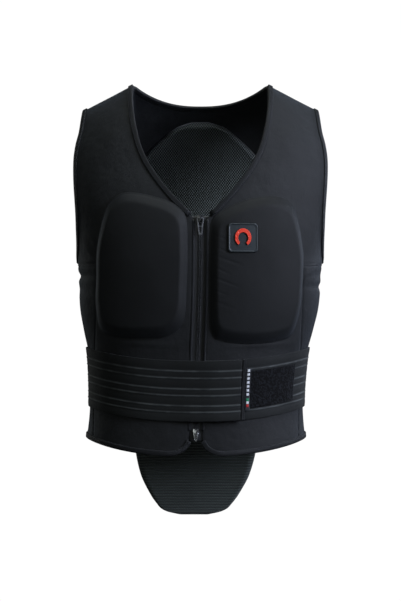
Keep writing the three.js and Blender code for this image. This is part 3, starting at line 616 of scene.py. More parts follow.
@dataclass
class Shader:
    """One material's node tree, with the calls that the finishes are written in."""

    name: str
    material: bpy.types.Material = field(init=False)
    skin: bpy.types.Node = field(init=False)

    def __post_init__(self) -> None:
        """Make the material and keep its surface shader."""
        self.material = bpy.data.materials.new(self.name)
        self.material.use_nodes = True
        self.skin = self.material.node_tree.nodes["Principled BSDF"]

    def node(self, kind: str) -> bpy.types.Node:
        """Add a node to the material."""
        return self.material.node_tree.nodes.new(kind)

    def add(
        self, kind: str, settings: Optional[dict] = None, inputs: Optional[dict] = None
    ) -> Value:
        """Add a node, set it and feed its sockets.

        Args:
            kind: The node's type.
            settings: Its settings, set before its sockets.
            inputs: Values or links of its sockets, by name or number.

        Returns:
            Its first output that is in use.
        """
        node = self.node(kind)
        for key, setting in (settings or {}).items():
            setattr(node, key, setting)
        for key, value in (inputs or {}).items():
            self.feed(node, key, value)
        outputs = [socket for socket in node.outputs if socket.enabled]
        return Value(self, outputs[0])

    def feed(self, node: bpy.types.Node, key: object, value: object) -> None:
        """Set or link one socket of a node."""
        if isinstance(value, Value):
            self.material.node_tree.links.new(value.socket, node.inputs[key])
        else:
            node.inputs[key].default_value = value

    def wear(self, **values: object) -> None:
        """Set or link sockets of the surface shader, by name with _ for a space."""
        for key, value in values.items():
            self.feed(self.skin, key.replace("_", " "), value)

    def place(self) -> Value:
        """Object coordinates, in metres."""
        return Value(self, self.node("ShaderNodeTexCoord").outputs["Object"])

    def painted(self, name: str) -> Value:
        """Number that the mesh's points carry under a name."""
        node = self.node("ShaderNodeAttribute")
        node.attribute_name = name
        return Value(self, node.outputs["Fac"])

    def flat(self) -> tuple[Value, Value]:
        """Place on the flat cloth, across and along, in metres."""
        across, along = self.split(self.add("ShaderNodeUVMap", {"uv_map": "cloth"}), 0, 1)
        return across, along

    def split(self, vector: Value, *axes: int) -> list[Value]:
        """Numbers of a vector along the axes given."""
        node = self.node("ShaderNodeSeparateXYZ")
        self.feed(node, 0, vector)
        return [Value(self, node.outputs[axis]) for axis in axes]

    def cosine(self, value: Value, pitch: float) -> Value:
        """Wave between -1 and 1 that repeats at a pitch in metres."""
        return (value * (2 * math.pi / pitch) + math.pi / 2).sine()

    def noise(self, scale: float, detail: float = 2.0) -> Value:
        """Noise from 0 to 1, about 1/scale metres a lump."""
        inputs = {"Vector": self.place(), "Scale": scale, "Detail": detail}
        return self.add("ShaderNodeTexNoise", {"noise_dimensions": "3D"}, inputs)

    def colour(self, mask: object, low: tuple, high: tuple) -> Value:
        """Blend of two colours by a mask."""
        node = self.node("ShaderNodeMix")
        node.data_type = "RGBA"
        self.feed(node, "Factor", mask)
        self.feed(node, 6, (*low, 1.0))
        self.feed(node, 7, (*high, 1.0))
        return Value(self, node.outputs[2])

    def bump(
        self, height: Value, depth: float, strength: float, under: Optional[Value] = None
    ) -> Value:
        """Normal of a relief whose height goes from 0 to 1 over a depth in metres."""
        inputs = {"Height": height, "Distance": depth, "Strength": strength}
        if under:
            inputs["Normal"] = under
        return self.add("ShaderNodeBump", None, inputs)


@dataclass(frozen=True)
class Cover:
    """A finish: its material's name and the two colours that its pattern goes between."""

    name: str
    dark: tuple
    light: tuple

    def make(self) -> bpy.types.Material:
        """Build the material."""
        shader = Shader(self.name)
        self.dress(shader)
        return shader.material

    def dress(self, shader: Shader) -> None:
        """Feed the surface shader, in each kind of finish's own way."""
        raise NotImplementedError

    @staticmethod
    def wave(value: Value) -> Value:
        """Sine of a value, raised to lie between 0 and 1."""
        return value.sine() * 0.5 + 0.5


@dataclass(frozen=True)
class Jersey(Cover):
    """Smooth stretch cloth: fine knit ribs, faint lint and a soft sheen."""

    roughness: float = 0.62
    pitch: float = 0.0011
    relief: float = 0.00012
    sheen: float = 0.16
    crease: float = 0.4
    sheen_tint: tuple = (0.62, 0.72, 0.9, 1.0)

    def dress(self, shader: Shader) -> None:
        """Feed the surface shader."""
        across, along = shader.flat()
        turn = 2 * math.pi / self.pitch
        wale = (across * turn).sine().size()
        course = self.wave(along * turn + (across * turn * 0.5).sine() * 1.6)
        knit = wale * 0.6 + course * 0.4
        cloudy = shader.noise(9.0, 3.0)
        fine = shader.noise(160.0, 3.0)
        mask = (cloudy * 0.7 + fine * 0.3).step(0.32, 0.72) * 0.75 + knit * 0.25
        crease = shader.bump(shader.noise(48.0, 3.0), 0.003, self.crease)
        shader.wear(
            Base_Color=shader.colour(mask, self.dark, self.light),
            Roughness=fine * 0.16 + (self.roughness - 0.06),
            Sheen_Weight=self.sheen,
            Sheen_Roughness=0.4,
            Sheen_Tint=self.sheen_tint,
            Specular_IOR_Level=0.28,
            Normal=shader.bump(knit, self.relief, 0.6, crease),
        )


@dataclass(frozen=True)
class FoldedTape(Cover):
    """Bound edge of a folded elastic tape, with ribs across it."""

    pitch: float = 0.0012
    relief: float = 0.00016
    roughness: float = 0.5

    def dress(self, shader: Shader) -> None:
        """Feed the surface shader."""
        across, along = shader.flat()
        turn = 2 * math.pi / self.pitch
        rib = self.wave(along * turn + (across * turn * 0.7).sine() * 0.8)
        fine = shader.noise(220.0, 2.0)
        shader.wear(
            Base_Color=shader.colour(rib * 0.5 + fine * 0.5, self.dark, self.light),
            Roughness=fine * 0.2 + (self.roughness - 0.1),
            Specular_IOR_Level=0.25,
            Sheen_Weight=0.08,
            Sheen_Roughness=0.4,
            Normal=shader.bump(rib, self.relief, 0.7),
        )


@dataclass(frozen=True)
class SpacerMesh(Cover):
    """Knitted spacer mesh of the back protector's cover: bright threads round holes painted dark
    as shade.
    """

    roughness: float = 0.6
    hole_pitch: float = 0.0041
    rib_pitch: float = 0.0046
    tail_start: float = 0.5

    def dress(self, shader: Shader) -> None:
        """Feed the surface shader: staggered holes in the knit, and plain ribs on the tail, with
        painted shade in the holes and between the ribs.
        """
        across, along = shader.split(shader.place(), 0, 2)
        fine = shader.noise(600.0, 2.0)
        cloudy = shader.noise(14.0, 2.0)
        wave = shader.noise(30.0, 2.0) * 0.0012
        column = shader.cosine(across + wave, self.hole_pitch)
        row = shader.cosine(along + wave, self.hole_pitch * 1.27)
        open_share = (column * row).step(-0.3, 0.12)
        tail = (along * -1.0).step(self.tail_start - 0.02, self.tail_start)
        groove = shader.cosine(along, self.rib_pitch).step(-0.2, 0.9)
        # Painted shade: the holes, and the grooves between the tail's ribs, are darkened towards
        # the dark colour.
        thread = (1.0 - open_share * (1.0 - tail * 0.75)) * (1.0 - tail * (1.0 - groove) * 0.6)
        mask = thread * (fine * 0.3 + 0.6) * (cloudy * 0.5 + 0.75)
        shader.wear(
            Base_Color=shader.colour(mask.at_most(1.0), self.dark, self.light),
            Roughness=fine * 0.2 + (self.roughness - 0.1),
            Specular_IOR_Level=0.2,
            Sheen_Weight=0.1,
            Normal=shader.bump(thread, 0.0006, 0.7),
        )


@dataclass(frozen=True)
class RibbedElastic(Cover):
    """Wide belt elastic with fine cords along it, which dips between them, with a painted
    highlight along its rib crests.
    """

    pitch: float = 0.0013
    relief: float = 0.0002
    roughness: float = 0.66

    def dress(self, shader: Shader) -> None:
        """Feed the surface shader."""
        across, along = shader.flat()
        turn = 2 * math.pi / self.pitch
        cord = self.wave(across * turn)
        pick = self.wave(along * turn * 0.8 + cord * 1.5)
        fine = shader.noise(240.0, 3.0)
        cloudy = shader.noise(16.0, 2.0)
        # Painted highlight: the rib crests are lightened towards the light colour, in patches that
        # noise breaks up.
        crest_highlight_patches = shader.noise(46.0, 4.0).step(0.34, 0.62) * 0.75 + 0.45
        painted_rib_highlight = shader.painted("crest") * crest_highlight_patches
        mask = (cord * 0.3 + fine * 0.3 + cloudy * 0.2) * 0.16 + painted_rib_highlight * 0.62
        shader.wear(
            Base_Color=shader.colour(mask.at_most(1.0), self.dark, self.light),
            Roughness=fine * 0.2 + (self.roughness - 0.1) - painted_rib_highlight * 0.12,
            Specular_IOR_Level=0.25,
            Sheen_Weight=0.1,
            Sheen_Roughness=0.4,
            Normal=shader.bump(cord * 0.6 + pick * 0.4, self.relief, 0.6),
        )


@dataclass(frozen=True)
class LoopPile(Cover):
    """Fuzzy loop pile of the fastener."""

    tuft: float = 620.0

    def dress(self, shader: Shader) -> None:
        """Feed the surface shader."""
        cells = {"Vector": shader.place(), "Scale": self.tuft}
        tufts = shader.add("ShaderNodeTexVoronoi", {"feature": "F1"}, cells)
        fuzz = shader.noise(1400.0, 4.0)
        clumps = shader.noise(330.0, 4.0)
        mask = (1.0 - tufts) * 0.2 + fuzz * 0.3 + clumps.step(0.42, 0.62) * 0.7
        shader.wear(
            Base_Color=shader.colour(mask.step(0.25, 0.95), self.dark, self.light),
            Roughness=fuzz * 0.2 + 0.72,
            Specular_IOR_Level=0.15,
            Sheen_Weight=0.06,
            Sheen_Roughness=0.5,
            Normal=shader.bump(clumps * 0.6 + fuzz * 0.4, 0.0012, 0.8),
        )


@dataclass(frozen=True)
class Moulded(Cover):
    """Moulded or lacquered surface, with fine grain and random patches of wear."""

    roughness: float = 0.4
    metallic: float = 0.0
    grain: float = 900.0
    relief: float = 0.00005
    coat: float = 0.0

    def dress(self, shader: Shader) -> None:
        """Feed the surface shader."""
        grain = shader.noise(self.grain, 3.0)
        rubs = shader.noise(260.0, 4.0).step(0.5, 0.75)
        shader.wear(
            Base_Color=shader.colour(grain * 0.4 + rubs * 0.6, self.dark, self.light),
            Roughness=grain * 0.12 + rubs * 0.1 + (self.roughness - 0.08),
            Metallic=self.metallic,
            Coat_Weight=self.coat,
            Normal=shader.bump(grain, self.relief, 0.5),
        )


@dataclass(frozen=True)
class ZipWeave(Cover):
    """Herringbone woven zip tape."""

    pitch: float = 0.0011

    def dress(self, shader: Shader) -> None:
        """Feed the surface shader."""
        across, along = shader.flat()
        turn = 2 * math.pi / self.pitch
        fold = self.wave((across * (turn / 5.0)).sine() * 2.4 + along * turn)
        fine = shader.noise(300.0, 2.0)
        shader.wear(
            Base_Color=shader.colour(fold * 0.55 + fine * 0.45, self.dark, self.light),
            Roughness=fine * 0.2 + 0.5,
            Sheen_Weight=0.15,
            Normal=shader.bump(fold, 0.00012, 0.6),
        )


class Finish(Enum):
    """The finishes, each worn by the pieces of one material slot."""

    CLOTH = Jersey("stretch_cloth", (0.0058, 0.0063, 0.0066), (0.0138, 0.0148, 0.0156))
    SIDE = Jersey("side_stretch_cloth", (0.0038, 0.0043, 0.0048), (0.008, 0.009, 0.0098), 0.66)
    PAD = Jersey(
        "pad_cover_cloth", (0.003, 0.0034, 0.0034), (0.0068, 0.0075, 0.0078), 0.64, crease=0.1
    )
    BINDING = FoldedTape("binding_tape", (0.003, 0.0034, 0.004), (0.009, 0.01, 0.0115))
    # The mesh's dark colour is the painted shade of its holes and of the grooves between the
    # tail's ribs.
    MESH = SpacerMesh("knitted_spacer_mesh", (0.0001, 0.0001, 0.0001), (0.145, 0.168, 0.157))
    # The elastic's light colour is mostly the painted highlight on its rib crests.
    ELASTIC = RibbedElastic("ribbed_elastic", (0.0022, 0.0028, 0.0026), (0.085, 0.094, 0.093))
    PILE = LoopPile("fastener_pile", (0.0002, 0.0002, 0.0004), (0.008, 0.0088, 0.011))
    TAPE = ZipWeave("woven_zip_tape", (0.006, 0.0066, 0.0074), (0.02, 0.0215, 0.0235))
    COIL = Moulded("nylon_coil", (0.008, 0.0085, 0.009), (0.03, 0.032, 0.035), 0.3)
    BLACK = Moulded("black_lacquer", (0.01, 0.0105, 0.0115), (0.06, 0.064, 0.07), 0.28, coat=0.4)
    PULL = Moulded("rubbed_lacquer", (0.05, 0.052, 0.056), (0.17, 0.175, 0.185), 0.3, coat=0.4)
    SILVER = Moulded("silver_metal", (0.42, 0.43, 0.45), (0.7, 0.71, 0.73), 0.24, 1.0, 700.0)
    RUBBER = Moulded(
        "badge_rubber", (0.013, 0.019, 0.022), (0.022, 0.03, 0.034), 0.5, relief=0.00012
    )
    EMBLEM = Moulded(
        "emblem_rubber", (0.80, 0.045, 0.018), (0.90, 0.085, 0.04), 0.42, relief=0.00006
    )
    LABEL = Moulded("label_satin", (0.012, 0.013, 0.016), (0.022, 0.024, 0.028), 0.5)
    THREAD = FoldedTape("sewing_thread", (0.014, 0.016, 0.018), (0.04, 0.044, 0.05), 0.0006)
    WHITE = FoldedTape("label_white", (0.62, 0.64, 0.66), (0.82, 0.84, 0.86), 0.0007, 0.00004)
    GREEN = FoldedTape("label_green", (0.02, 0.2, 0.09), (0.04, 0.28, 0.13), 0.0007, 0.00004)
    RED = FoldedTape("label_red", (0.4, 0.02, 0.02), (0.55, 0.04, 0.04), 0.0007, 0.00004)

    @property
    def material(self) -> bpy.types.Material:
        """The finish's material, made once."""
        return bpy.data.materials.get(self.value.name) or self.value.make()


@dataclass
class Panels:
    """The vest's cloth: two fronts, a back and two side inserts, with soft folds."""

    wall: float = 2.5
    edge_inset: float = 3.4
    piping: float = 4.5
    seam_share: float = 0.66
    tuck: float = 0.8
    lap: float = 2.4
    rumple: float = 0.5
    rows: int = 180
    insert_top_v: float = 0.5
    hollow_row: int = 2
    middle_row: int = 46
    front_columns: int = 66
    back_columns: int = 130
    # Share of the front's columns that lie in front of the side insert.
    front_split: float = 0.7273
    no_rim: float = 20.0
    tuck_width: float = 1.8
    folds_behind: float = 20.0
    hem_start: float = 500.0
    yoke_level: float = -120.0
    neck_part: float = 0.5
    # Folds as (across, level) from end to end; negative heights are dents.
    folds: tuple = (
        Fold((-178.0, -208.0), (-150.0, -244.0), 7.0, 1.6),
        Fold((-184.0, -226.0), (-160.0, -262.0), 5.0, 1.3),
        Fold((180.0, -262.0), (150.0, -292.0), 6.0, 1.2),
        Fold((-150.0, -120.0), (-120.0, -30.0), 16.0, 1.2),
        Fold((150.0, -120.0), (128.0, -36.0), 16.0, 1.2),
        Fold((-140.0, -385.5), (-30.0, -389.5), 3.2, 0.9),
        Fold((30.0, -392.0), (148.0, -386.0), 3.2, 0.9),
        Fold((40.0, -509.0), (150.0, -494.0), 5.0, 0.5),
    )
    # Dents under the arms: angle, level, reach in degrees, height and depth.
    dents: tuple = (
        (-90.0, -282.0, 26.0, 5.5, 4.0),
        (-80.0, -302.0, 14.0, 9.0, 1.6),
        (90.0, -299.0, 26.0, 5.5, 3.2),
        (82.0, -281.0, 16.0, 8.0, 1.4),
    )

    def level(self, v: float) -> float:
        """Level of a share up the panel, with fine rows at the armhole and the ridge."""
        top = self.insert_top_v
        hollow = FORM.armhole_bottom + self.edge_inset
        if v <= top:
            return mix(-FORM.side_hem, -FORM.insert_top, v / top)
        part = (v - top) * self.rows
        low, high = self.hollow_row, self.middle_row
        if part <= low:
            return mix(-FORM.insert_top, -hollow, part / low)
        if part <= high:
            turn = math.radians(90.0 * (1.0 - (part - low) / (high - low)))
            return -mix(FORM.armhole_middle, hollow, math.sin(turn))
        turn = math.radians(90.0 * (part - high) / (self.rows * (1 - top) - high))
        return mix(-FORM.armhole_middle, FORM.crown, math.sin(turn))

    def armhole_edge(self, level: float, slant: float) -> float:
        """Edge angle of a panel beside the armhole, clear of the other panel."""
        seam = SIDE_ANGLE - FORM.angle_of(PIECE_GAP / 2, SIDE_ANGLE, level) + slant
        return min(FORM.armhole(round(level, 4), self.edge_inset), seam)

    def slant(self, level: float, face: int) -> float:
        """Angle by which a seam edge slants from face to face, so that no light passes."""
        return FORM.angle_of(self.lap * (0.5 - face), SIDE_ANGLE, level)

    def over_armhole(self, level: float) -> bool:
        """Whether a level lies above the armhole's bottom edge."""
        return level >= -FORM.armhole_bottom - self.edge_inset - 0.01

    def relief(self, point: Vector, level: float) -> float:
        """Height of the cloth's soft folds at a point."""
        height = noise.noise(point / 55.0) * self.rumple
        for fold in self.folds:
            if (point.x > 0) != (fold.end[0] > 0) or point.y > self.folds_behind:
                continue
            share, away = fold.near(Vector((point.x, level)))
            ease = math.sin(math.pi * clamp(share, 0.06, 0.94))
            height += fold.height * ease * bell(away, fold.width)
        return height

    def dent(self, angle: float, level: float) -> float:
        """Depth to which the cloth caves in under the arms."""
        turn = (angle + BACK_ANGLE) % FULL_TURN - BACK_ANGLE
        depth = 0.0
        for middle, height, reach, tall, deep in self.dents:
            depth += deep * bell(turn - middle, reach) * bell(level - height, tall)
        return depth

    def surface(self, angle: float, level: float, side: int, rim: float) -> Vector:
        """Point of a panel's outer or inner face, tucked in at its seams.

        Args:
            angle: Angle on the form.
            level: Level on the form.
            side: 1 for the outer face, 0 for the inner face.
            rim: Distance to the nearest seam, in millimetres.

        Returns:
            The point.
        """
        point = FORM.point(angle, level)
        offset = 0.0
        if side:
            tuck = self.tuck * bell(rim, self.tuck_width)
            offset = self.wall + self.relief(point, level) - tuck
        dent = self.dent(angle, level)
        return point + FORM.outward(angle, level) * (max(offset, 0.0) - dent)

    def front(self, maker: Mesher, word: str, side: int) -> bpy.types.Object:
        """Build one front panel.

        Args:
            maker: Mesher with the cloth's finish.
            word: left or right.
            side: -1 for the left, 1 for the right.

        Returns:
            The panel.
        """
        split = self.front_split

        def place(u: float, v: float, face: int) -> Vector:
            """Place a share of the panel on the form."""
            level = self.level(v)
            across = FORM.zip_side + self.piping / 2
            if level > -FORM.neck_depth - self.edge_inset:
                across = max(across, FORM.beside_neck(level, self.edge_inset))
            inner = FORM.across(across, level)
            if self.over_armhole(level):
                outer = self.armhole_edge(level, self.slant(level, face))
            else:
                outer = FORM.side_seam(level) - FORM.angle_of(PIECE_GAP / 2, SIDE_ANGLE, level)
                outer += self.slant(level, face)
            gap = FORM.angle_of(PIECE_GAP / 2, FORM.insert_front(level), level)
            low = level <= -FORM.insert_top + 0.001
            seam = FORM.insert_front(level) - gap if low else mix(inner, outer, self.seam_share)
            if u <= split:
                angle = mix(inner, seam, u / split)
            else:
                angle = mix(seam, outer, (u - split) / (1 - split))
            rim = (seam - angle) / FORM.angle_of(1.0, angle, level) if low else self.no_rim
            level = self.hem_row(angle, level)
            return self.surface(side * angle, level, face, rim)

        def keep(u: float, v: float) -> bool:
            """Leave out the strip that the side insert fills."""
            return u < split or v > self.insert_top_v

        name, nodes = f"front_panel_{word}", (f"vest_front_{word}",)
        columns, size = self.front_columns, (186.0, 566.0)
        piece = maker.sheet(name, columns, self.rows, place, size, nodes, keep)
        return piece

    def hem_row(self, angle: float, level: float) -> float:
        """Level with the lowest rows let down to the hem's curve."""
        start = self.hem_start
        if level > -start:
            return level
        foot = FORM.above_hem(angle, self.edge_inset + 2 * PIECE_GAP)
        return mix(-start, foot, (-start - level) / (FORM.side_hem - start))

    def back(self, maker: Mesher) -> bpy.types.Object:
        """Build the back panel."""
        half_width = FORM.neck_half + self.edge_inset
        neck_part, upper = self.neck_part, self.yoke_level

        def eased(share: float) -> float:
            """Ease the columns towards the neck's corner."""
            return math.sin(math.radians(share * SIDE_ANGLE))

        def place(u: float, v: float, face: int) -> Vector:
            """Place a share of the panel on the form."""
            away, level = abs(u * 2 - 1), self.level(v)
            if away < neck_part and level > upper:
                edge = FORM.below_neck(half_width * eased(away / neck_part), self.edge_inset)
                level = upper + (level - upper) * (edge - upper) / (FORM.ridge - upper)
            level = min(level, FORM.crown)
            if self.over_armhole(level):
                outer = self.armhole_edge(level, -self.slant(level, face))
            else:
                gap = FORM.angle_of(PIECE_GAP / 2, SIDE_ANGLE, level)
                outer = BACK_ANGLE - FORM.side_seam(level) - gap
                if level < -FORM.insert_bottom or level > -FORM.insert_top:
                    outer -= self.slant(level, face)
            neck = min(FORM.across(half_width, max(level, upper)), outer * 0.9)
            rise = smooth(-FORM.armhole_bottom, upper, level)
            split = mix(outer * neck_part, neck, rise)
            if away <= neck_part:
                turn = split * mix(away / neck_part, eased(away / neck_part), rise)
            else:
                turn = mix(split, outer, (away - neck_part) / (1 - neck_part))
            angle = BACK_ANGLE + math.copysign(turn, u - 0.5)
            rim = self.no_rim
            if level < -FORM.insert_top:
                rim = (outer - turn) / FORM.angle_of(1.0, angle, level)
            return self.surface(angle, self.hem_row(angle, level), face, rim)

        columns, size = self.back_columns, (470.0, 590.0)
        piece = maker.sheet("back_panel", columns, self.rows, place, size, ("vest_back",))
        return piece

    def insert(self, maker: Mesher, word: str, side: int) -> bpy.types.Object:
        """Build one side insert, from the armpit to the belt."""

        def place(u: float, v: float, face: int) -> Vector:
            """Place a share of the insert on the form."""
            level = mix(-FORM.insert_bottom, -FORM.insert_top - PIECE_GAP, v)
            gap = FORM.angle_of(PIECE_GAP / 2, FORM.insert_front(level), level)
            front, back = FORM.insert_front(level) + gap, FORM.side_seam(level) - gap
            angle = mix(front, back, u)
            wide = (back - front) / FORM.angle_of(1.0, angle, level)
            rim = min(u * wide, (1 - u) * wide, (1 - v) * (FORM.insert_bottom - FORM.insert_top))
            return self.surface(side * angle, level, face, rim)

        nodes = (f"side_insert_{word}",)
        piece = maker.sheet(f"side_panel_{word}", 46, 64, place, (120.0, 186.0), nodes, None, 0.3)
        return piece

    def build(self) -> None:
        """Build the cloth."""
        cloth = Mesher(Finish.CLOTH, "cloth")
        side_cloth = Mesher(Finish.SIDE, "side_mesh")
        for word, side in SIDES:
            self.front(cloth, word, side)
            self.insert(side_cloth, word, side)
        self.back(cloth)


@dataclass
class Bindings:
    """The folded tape on every raw edge, with its row of stitches."""

    width: float = 8.0
    thickness: float = 4.6
    piping: float = 4.5
    wrap: float = 0.8
    neck_corner: float = 7.0
    piping_bottom: float = 521.0
    hem_ease: float = 0.8
    piping_thinner: float = 1.4
    stitch_inset: float = 1.4
    stitch_sink: float = 0.1
    # Width, thickness and seat of the tapes inside the seams.
    seam_tape: tuple = (7.0, 0.7, -1.6)
    seam_overlap: float = 2.0
    seam_steps: int = 24
    maker: Mesher = field(init=False)
    thread: Mesher = field(init=False)

    def __post_init__(self) -> None:
        """Take the tape's and the thread's finish."""
        self.maker = Mesher(Finish.BINDING, "binding")
        self.thread = Mesher(Finish.THREAD, "binding")

    def neck(self, inset: float, steps: int = 84) -> list[Spot]:
        """Line beside the neck's edge, from the zip round the back to the zip."""
        side = []
        for step in range(steps + 1):
            rise = math.sin(math.radians(90.0 * step / steps)) ** 0.9
            level = mix(-FORM.neck_depth, FORM.path_top, rise)
            side.append((FORM.across(FORM.beside_neck(level, inset), level), level))
        back = []
        for step in range(1, steps):
            across = (FORM.neck_half + inset) * math.cos(math.radians(BACK_ANGLE * step / steps))
            level = min(FORM.below_neck(across, inset), FORM.path_top)
            back.append((BACK_ANGLE - FORM.across(across, level), level))
        return side + back + [(-angle, level) for angle, level in reversed(side)]

    def armhole(self, side: int, inset: float) -> list[Spot]:
        """Closed line beside one armhole's edge."""
        bottom, middle = FORM.armhole_bottom + inset, FORM.armhole_middle
        turns = [math.radians(90.0 * (1 - step / 40)) for step in range(41)]
        levels = [-mix(middle, bottom, math.sin(turn)) for turn in turns]
        rises = [math.sin(math.radians(90.0 * step / 40)) for step in range(1, 41)]
        levels += [mix(-middle, FORM.path_top, rise) for rise in rises]
        front = [(FORM.armhole(round(level, 4), inset), level) for level in levels]
        back = [(BACK_ANGLE - angle, level) for angle, level in reversed(front[1:-1])]
        return [(side * angle, level) for angle, level in front + back]

    def hem(self, inset: float, steps: int = 260) -> list[Spot]:
        """Line beside the hem's edge, from zip edge to zip edge round the back."""
        start = FORM.across(FORM.zip_side + 2, -FORM.side_hem)
        path = []
        for step in range(steps + 1):
            even = step / steps
            eased = (1 - math.cos(math.pi * even)) / 2
            angle = mix(start, FULL_TURN - start, mix(even, eased, self.hem_ease))
            path.append((angle, FORM.above_hem(angle, inset)))
        return path

    def front_edge(self, side: int, steps: int = 90) -> list[Spot]:
        """Line of the piping along one zip edge."""
        path = []
        for step in range(steps + 1):
            level = mix(-FORM.neck_depth - self.neck_corner, -self.piping_bottom, step / steps)
            path.append((side * FORM.across(FORM.zip_side + self.piping / 2, level), level))
        return path

    def seam_tapes(self, word: str, side: int) -> None:
        """Tape one side's shoulder seam and side seam inside, as far as the bound edges.

        Args:
            word: left or right.
            side: -1 for the left, 1 for the right.
        """
        clear = self.width - self.seam_overlap
        start = FORM.across(FORM.neck_half + clear, FORM.crown)
        end = FORM.armhole(FORM.crown, clear)
        shares = [step / self.seam_steps for step in range(self.seam_steps + 1)]
        shoulder = [(side * mix(start, end, share), FORM.crown) for share in shares]
        foot = FORM.above_hem(FORM.side_seam(-FORM.side_hem), clear)
        levels = [mix(-FORM.insert_bottom, foot, share) for share in shares]
        flank = [(side * FORM.side_seam(level), level) for level in levels]
        for name, path in (("shoulder_seam", shoulder), ("side_seam", flank)):
            self.maker.band(f"{name}_tape_{word}", path, *self.seam_tape)

    def build(self) -> None:
        """Build the bound edges and their stitches."""
        middle, stitch = self.width / 2, self.width - self.stitch_inset
        top = self.thickness - self.stitch_sink
        tape = (self.width, self.thickness + self.wrap, -self.wrap)
        self.maker.band("neck_tape", self.neck(middle), *tape, nodes=("neck_binding",))
        self.thread.stitches("neck_stitches", self.neck(stitch), top)
        self.maker.band("hem_tape", self.hem(middle), *tape, nodes=("hem_binding",))
        self.thread.stitches("hem_stitches", self.hem(stitch), top)
        for word, side in SIDES:
            self.seam_tapes(word, side)
            nodes = (f"armhole_binding_{word}",)
            path = self.armhole(side, middle)
            self.maker.band(f"armhole_tape_{word}", path, *tape, closed=True, nodes=nodes)
            self.thread.stitches(f"armhole_stitches_{word}", self.armhole(side, stitch), top)
            nodes = (f"front_edge_binding_{word}",)
            path = self.front_edge(side)
            size = (self.piping, self.thickness - self.piping_thinner + self.wrap, -self.wrap)
            self.maker.band(f"front_piping_{word}", path, *size, nodes=nodes, power=2.4)


@dataclass
class Outline:
    """A closed smooth outline through spots, read by its length and mapped from a square."""

    spots: Sequence[Spot]
    corners: list = field(init=False)
    lengths: list = field(init=False)
    middle: Vector = field(init=False)

    def __post_init__(self) -> None:
        """Refine the outline and measure it."""
        self.corners = [Vector(spot) for spot in refine(self.spots, OUTLINE_PARTS)]
        self.corners.append(self.corners[0].copy())
        self.lengths = [0.0]
        for before, after in zip(self.corners, self.corners[1:]):
            self.lengths.append(self.lengths[-1] + (after - before).length)
        self.middle = sum(self.corners[:-1], Vector((0.0, 0.0))) / (len(self.corners) - 1)

    def at(self, share: float) -> Vector:
        """Point at a share of the outline's length."""
        due = (share % 1.0) * self.lengths[-1]
        low, high = 0, len(self.lengths) - 1
        while high - low > 1:
            centre = (low + high) // 2
            low, high = (centre, high) if self.lengths[centre] <= due else (low, centre)
        part = (due - self.lengths[low]) / (self.lengths[high] - self.lengths[low])
        return self.corners[low].lerp(self.corners[high], part)

    def spread(self, u: float, v: float) -> tuple[Vector, float]:
        """Map a square's spot into the outline.

        Args:
            u: Share across the square.
            v: Share up the square.

        Returns:
            The spot in the outline and its share of the way from middle to edge.
        """
        x, y = u * 2 - 1, v * 2 - 1
        ring = max(abs(x), abs(y))
        if ring < 1e-6:
            return self.middle.copy(), 0.0
        x, y = x / ring, y / ring
        if abs(x) >= abs(y):
            turn = 0.25 - y * 0.125 if x > 0 else 0.75 + y * 0.125
        else:
            turn = (1.0 + x * 0.125) % 1.0 if y > 0 else 0.5 - x * 0.125
        return self.middle.lerp(self.at(turn), ring), ring


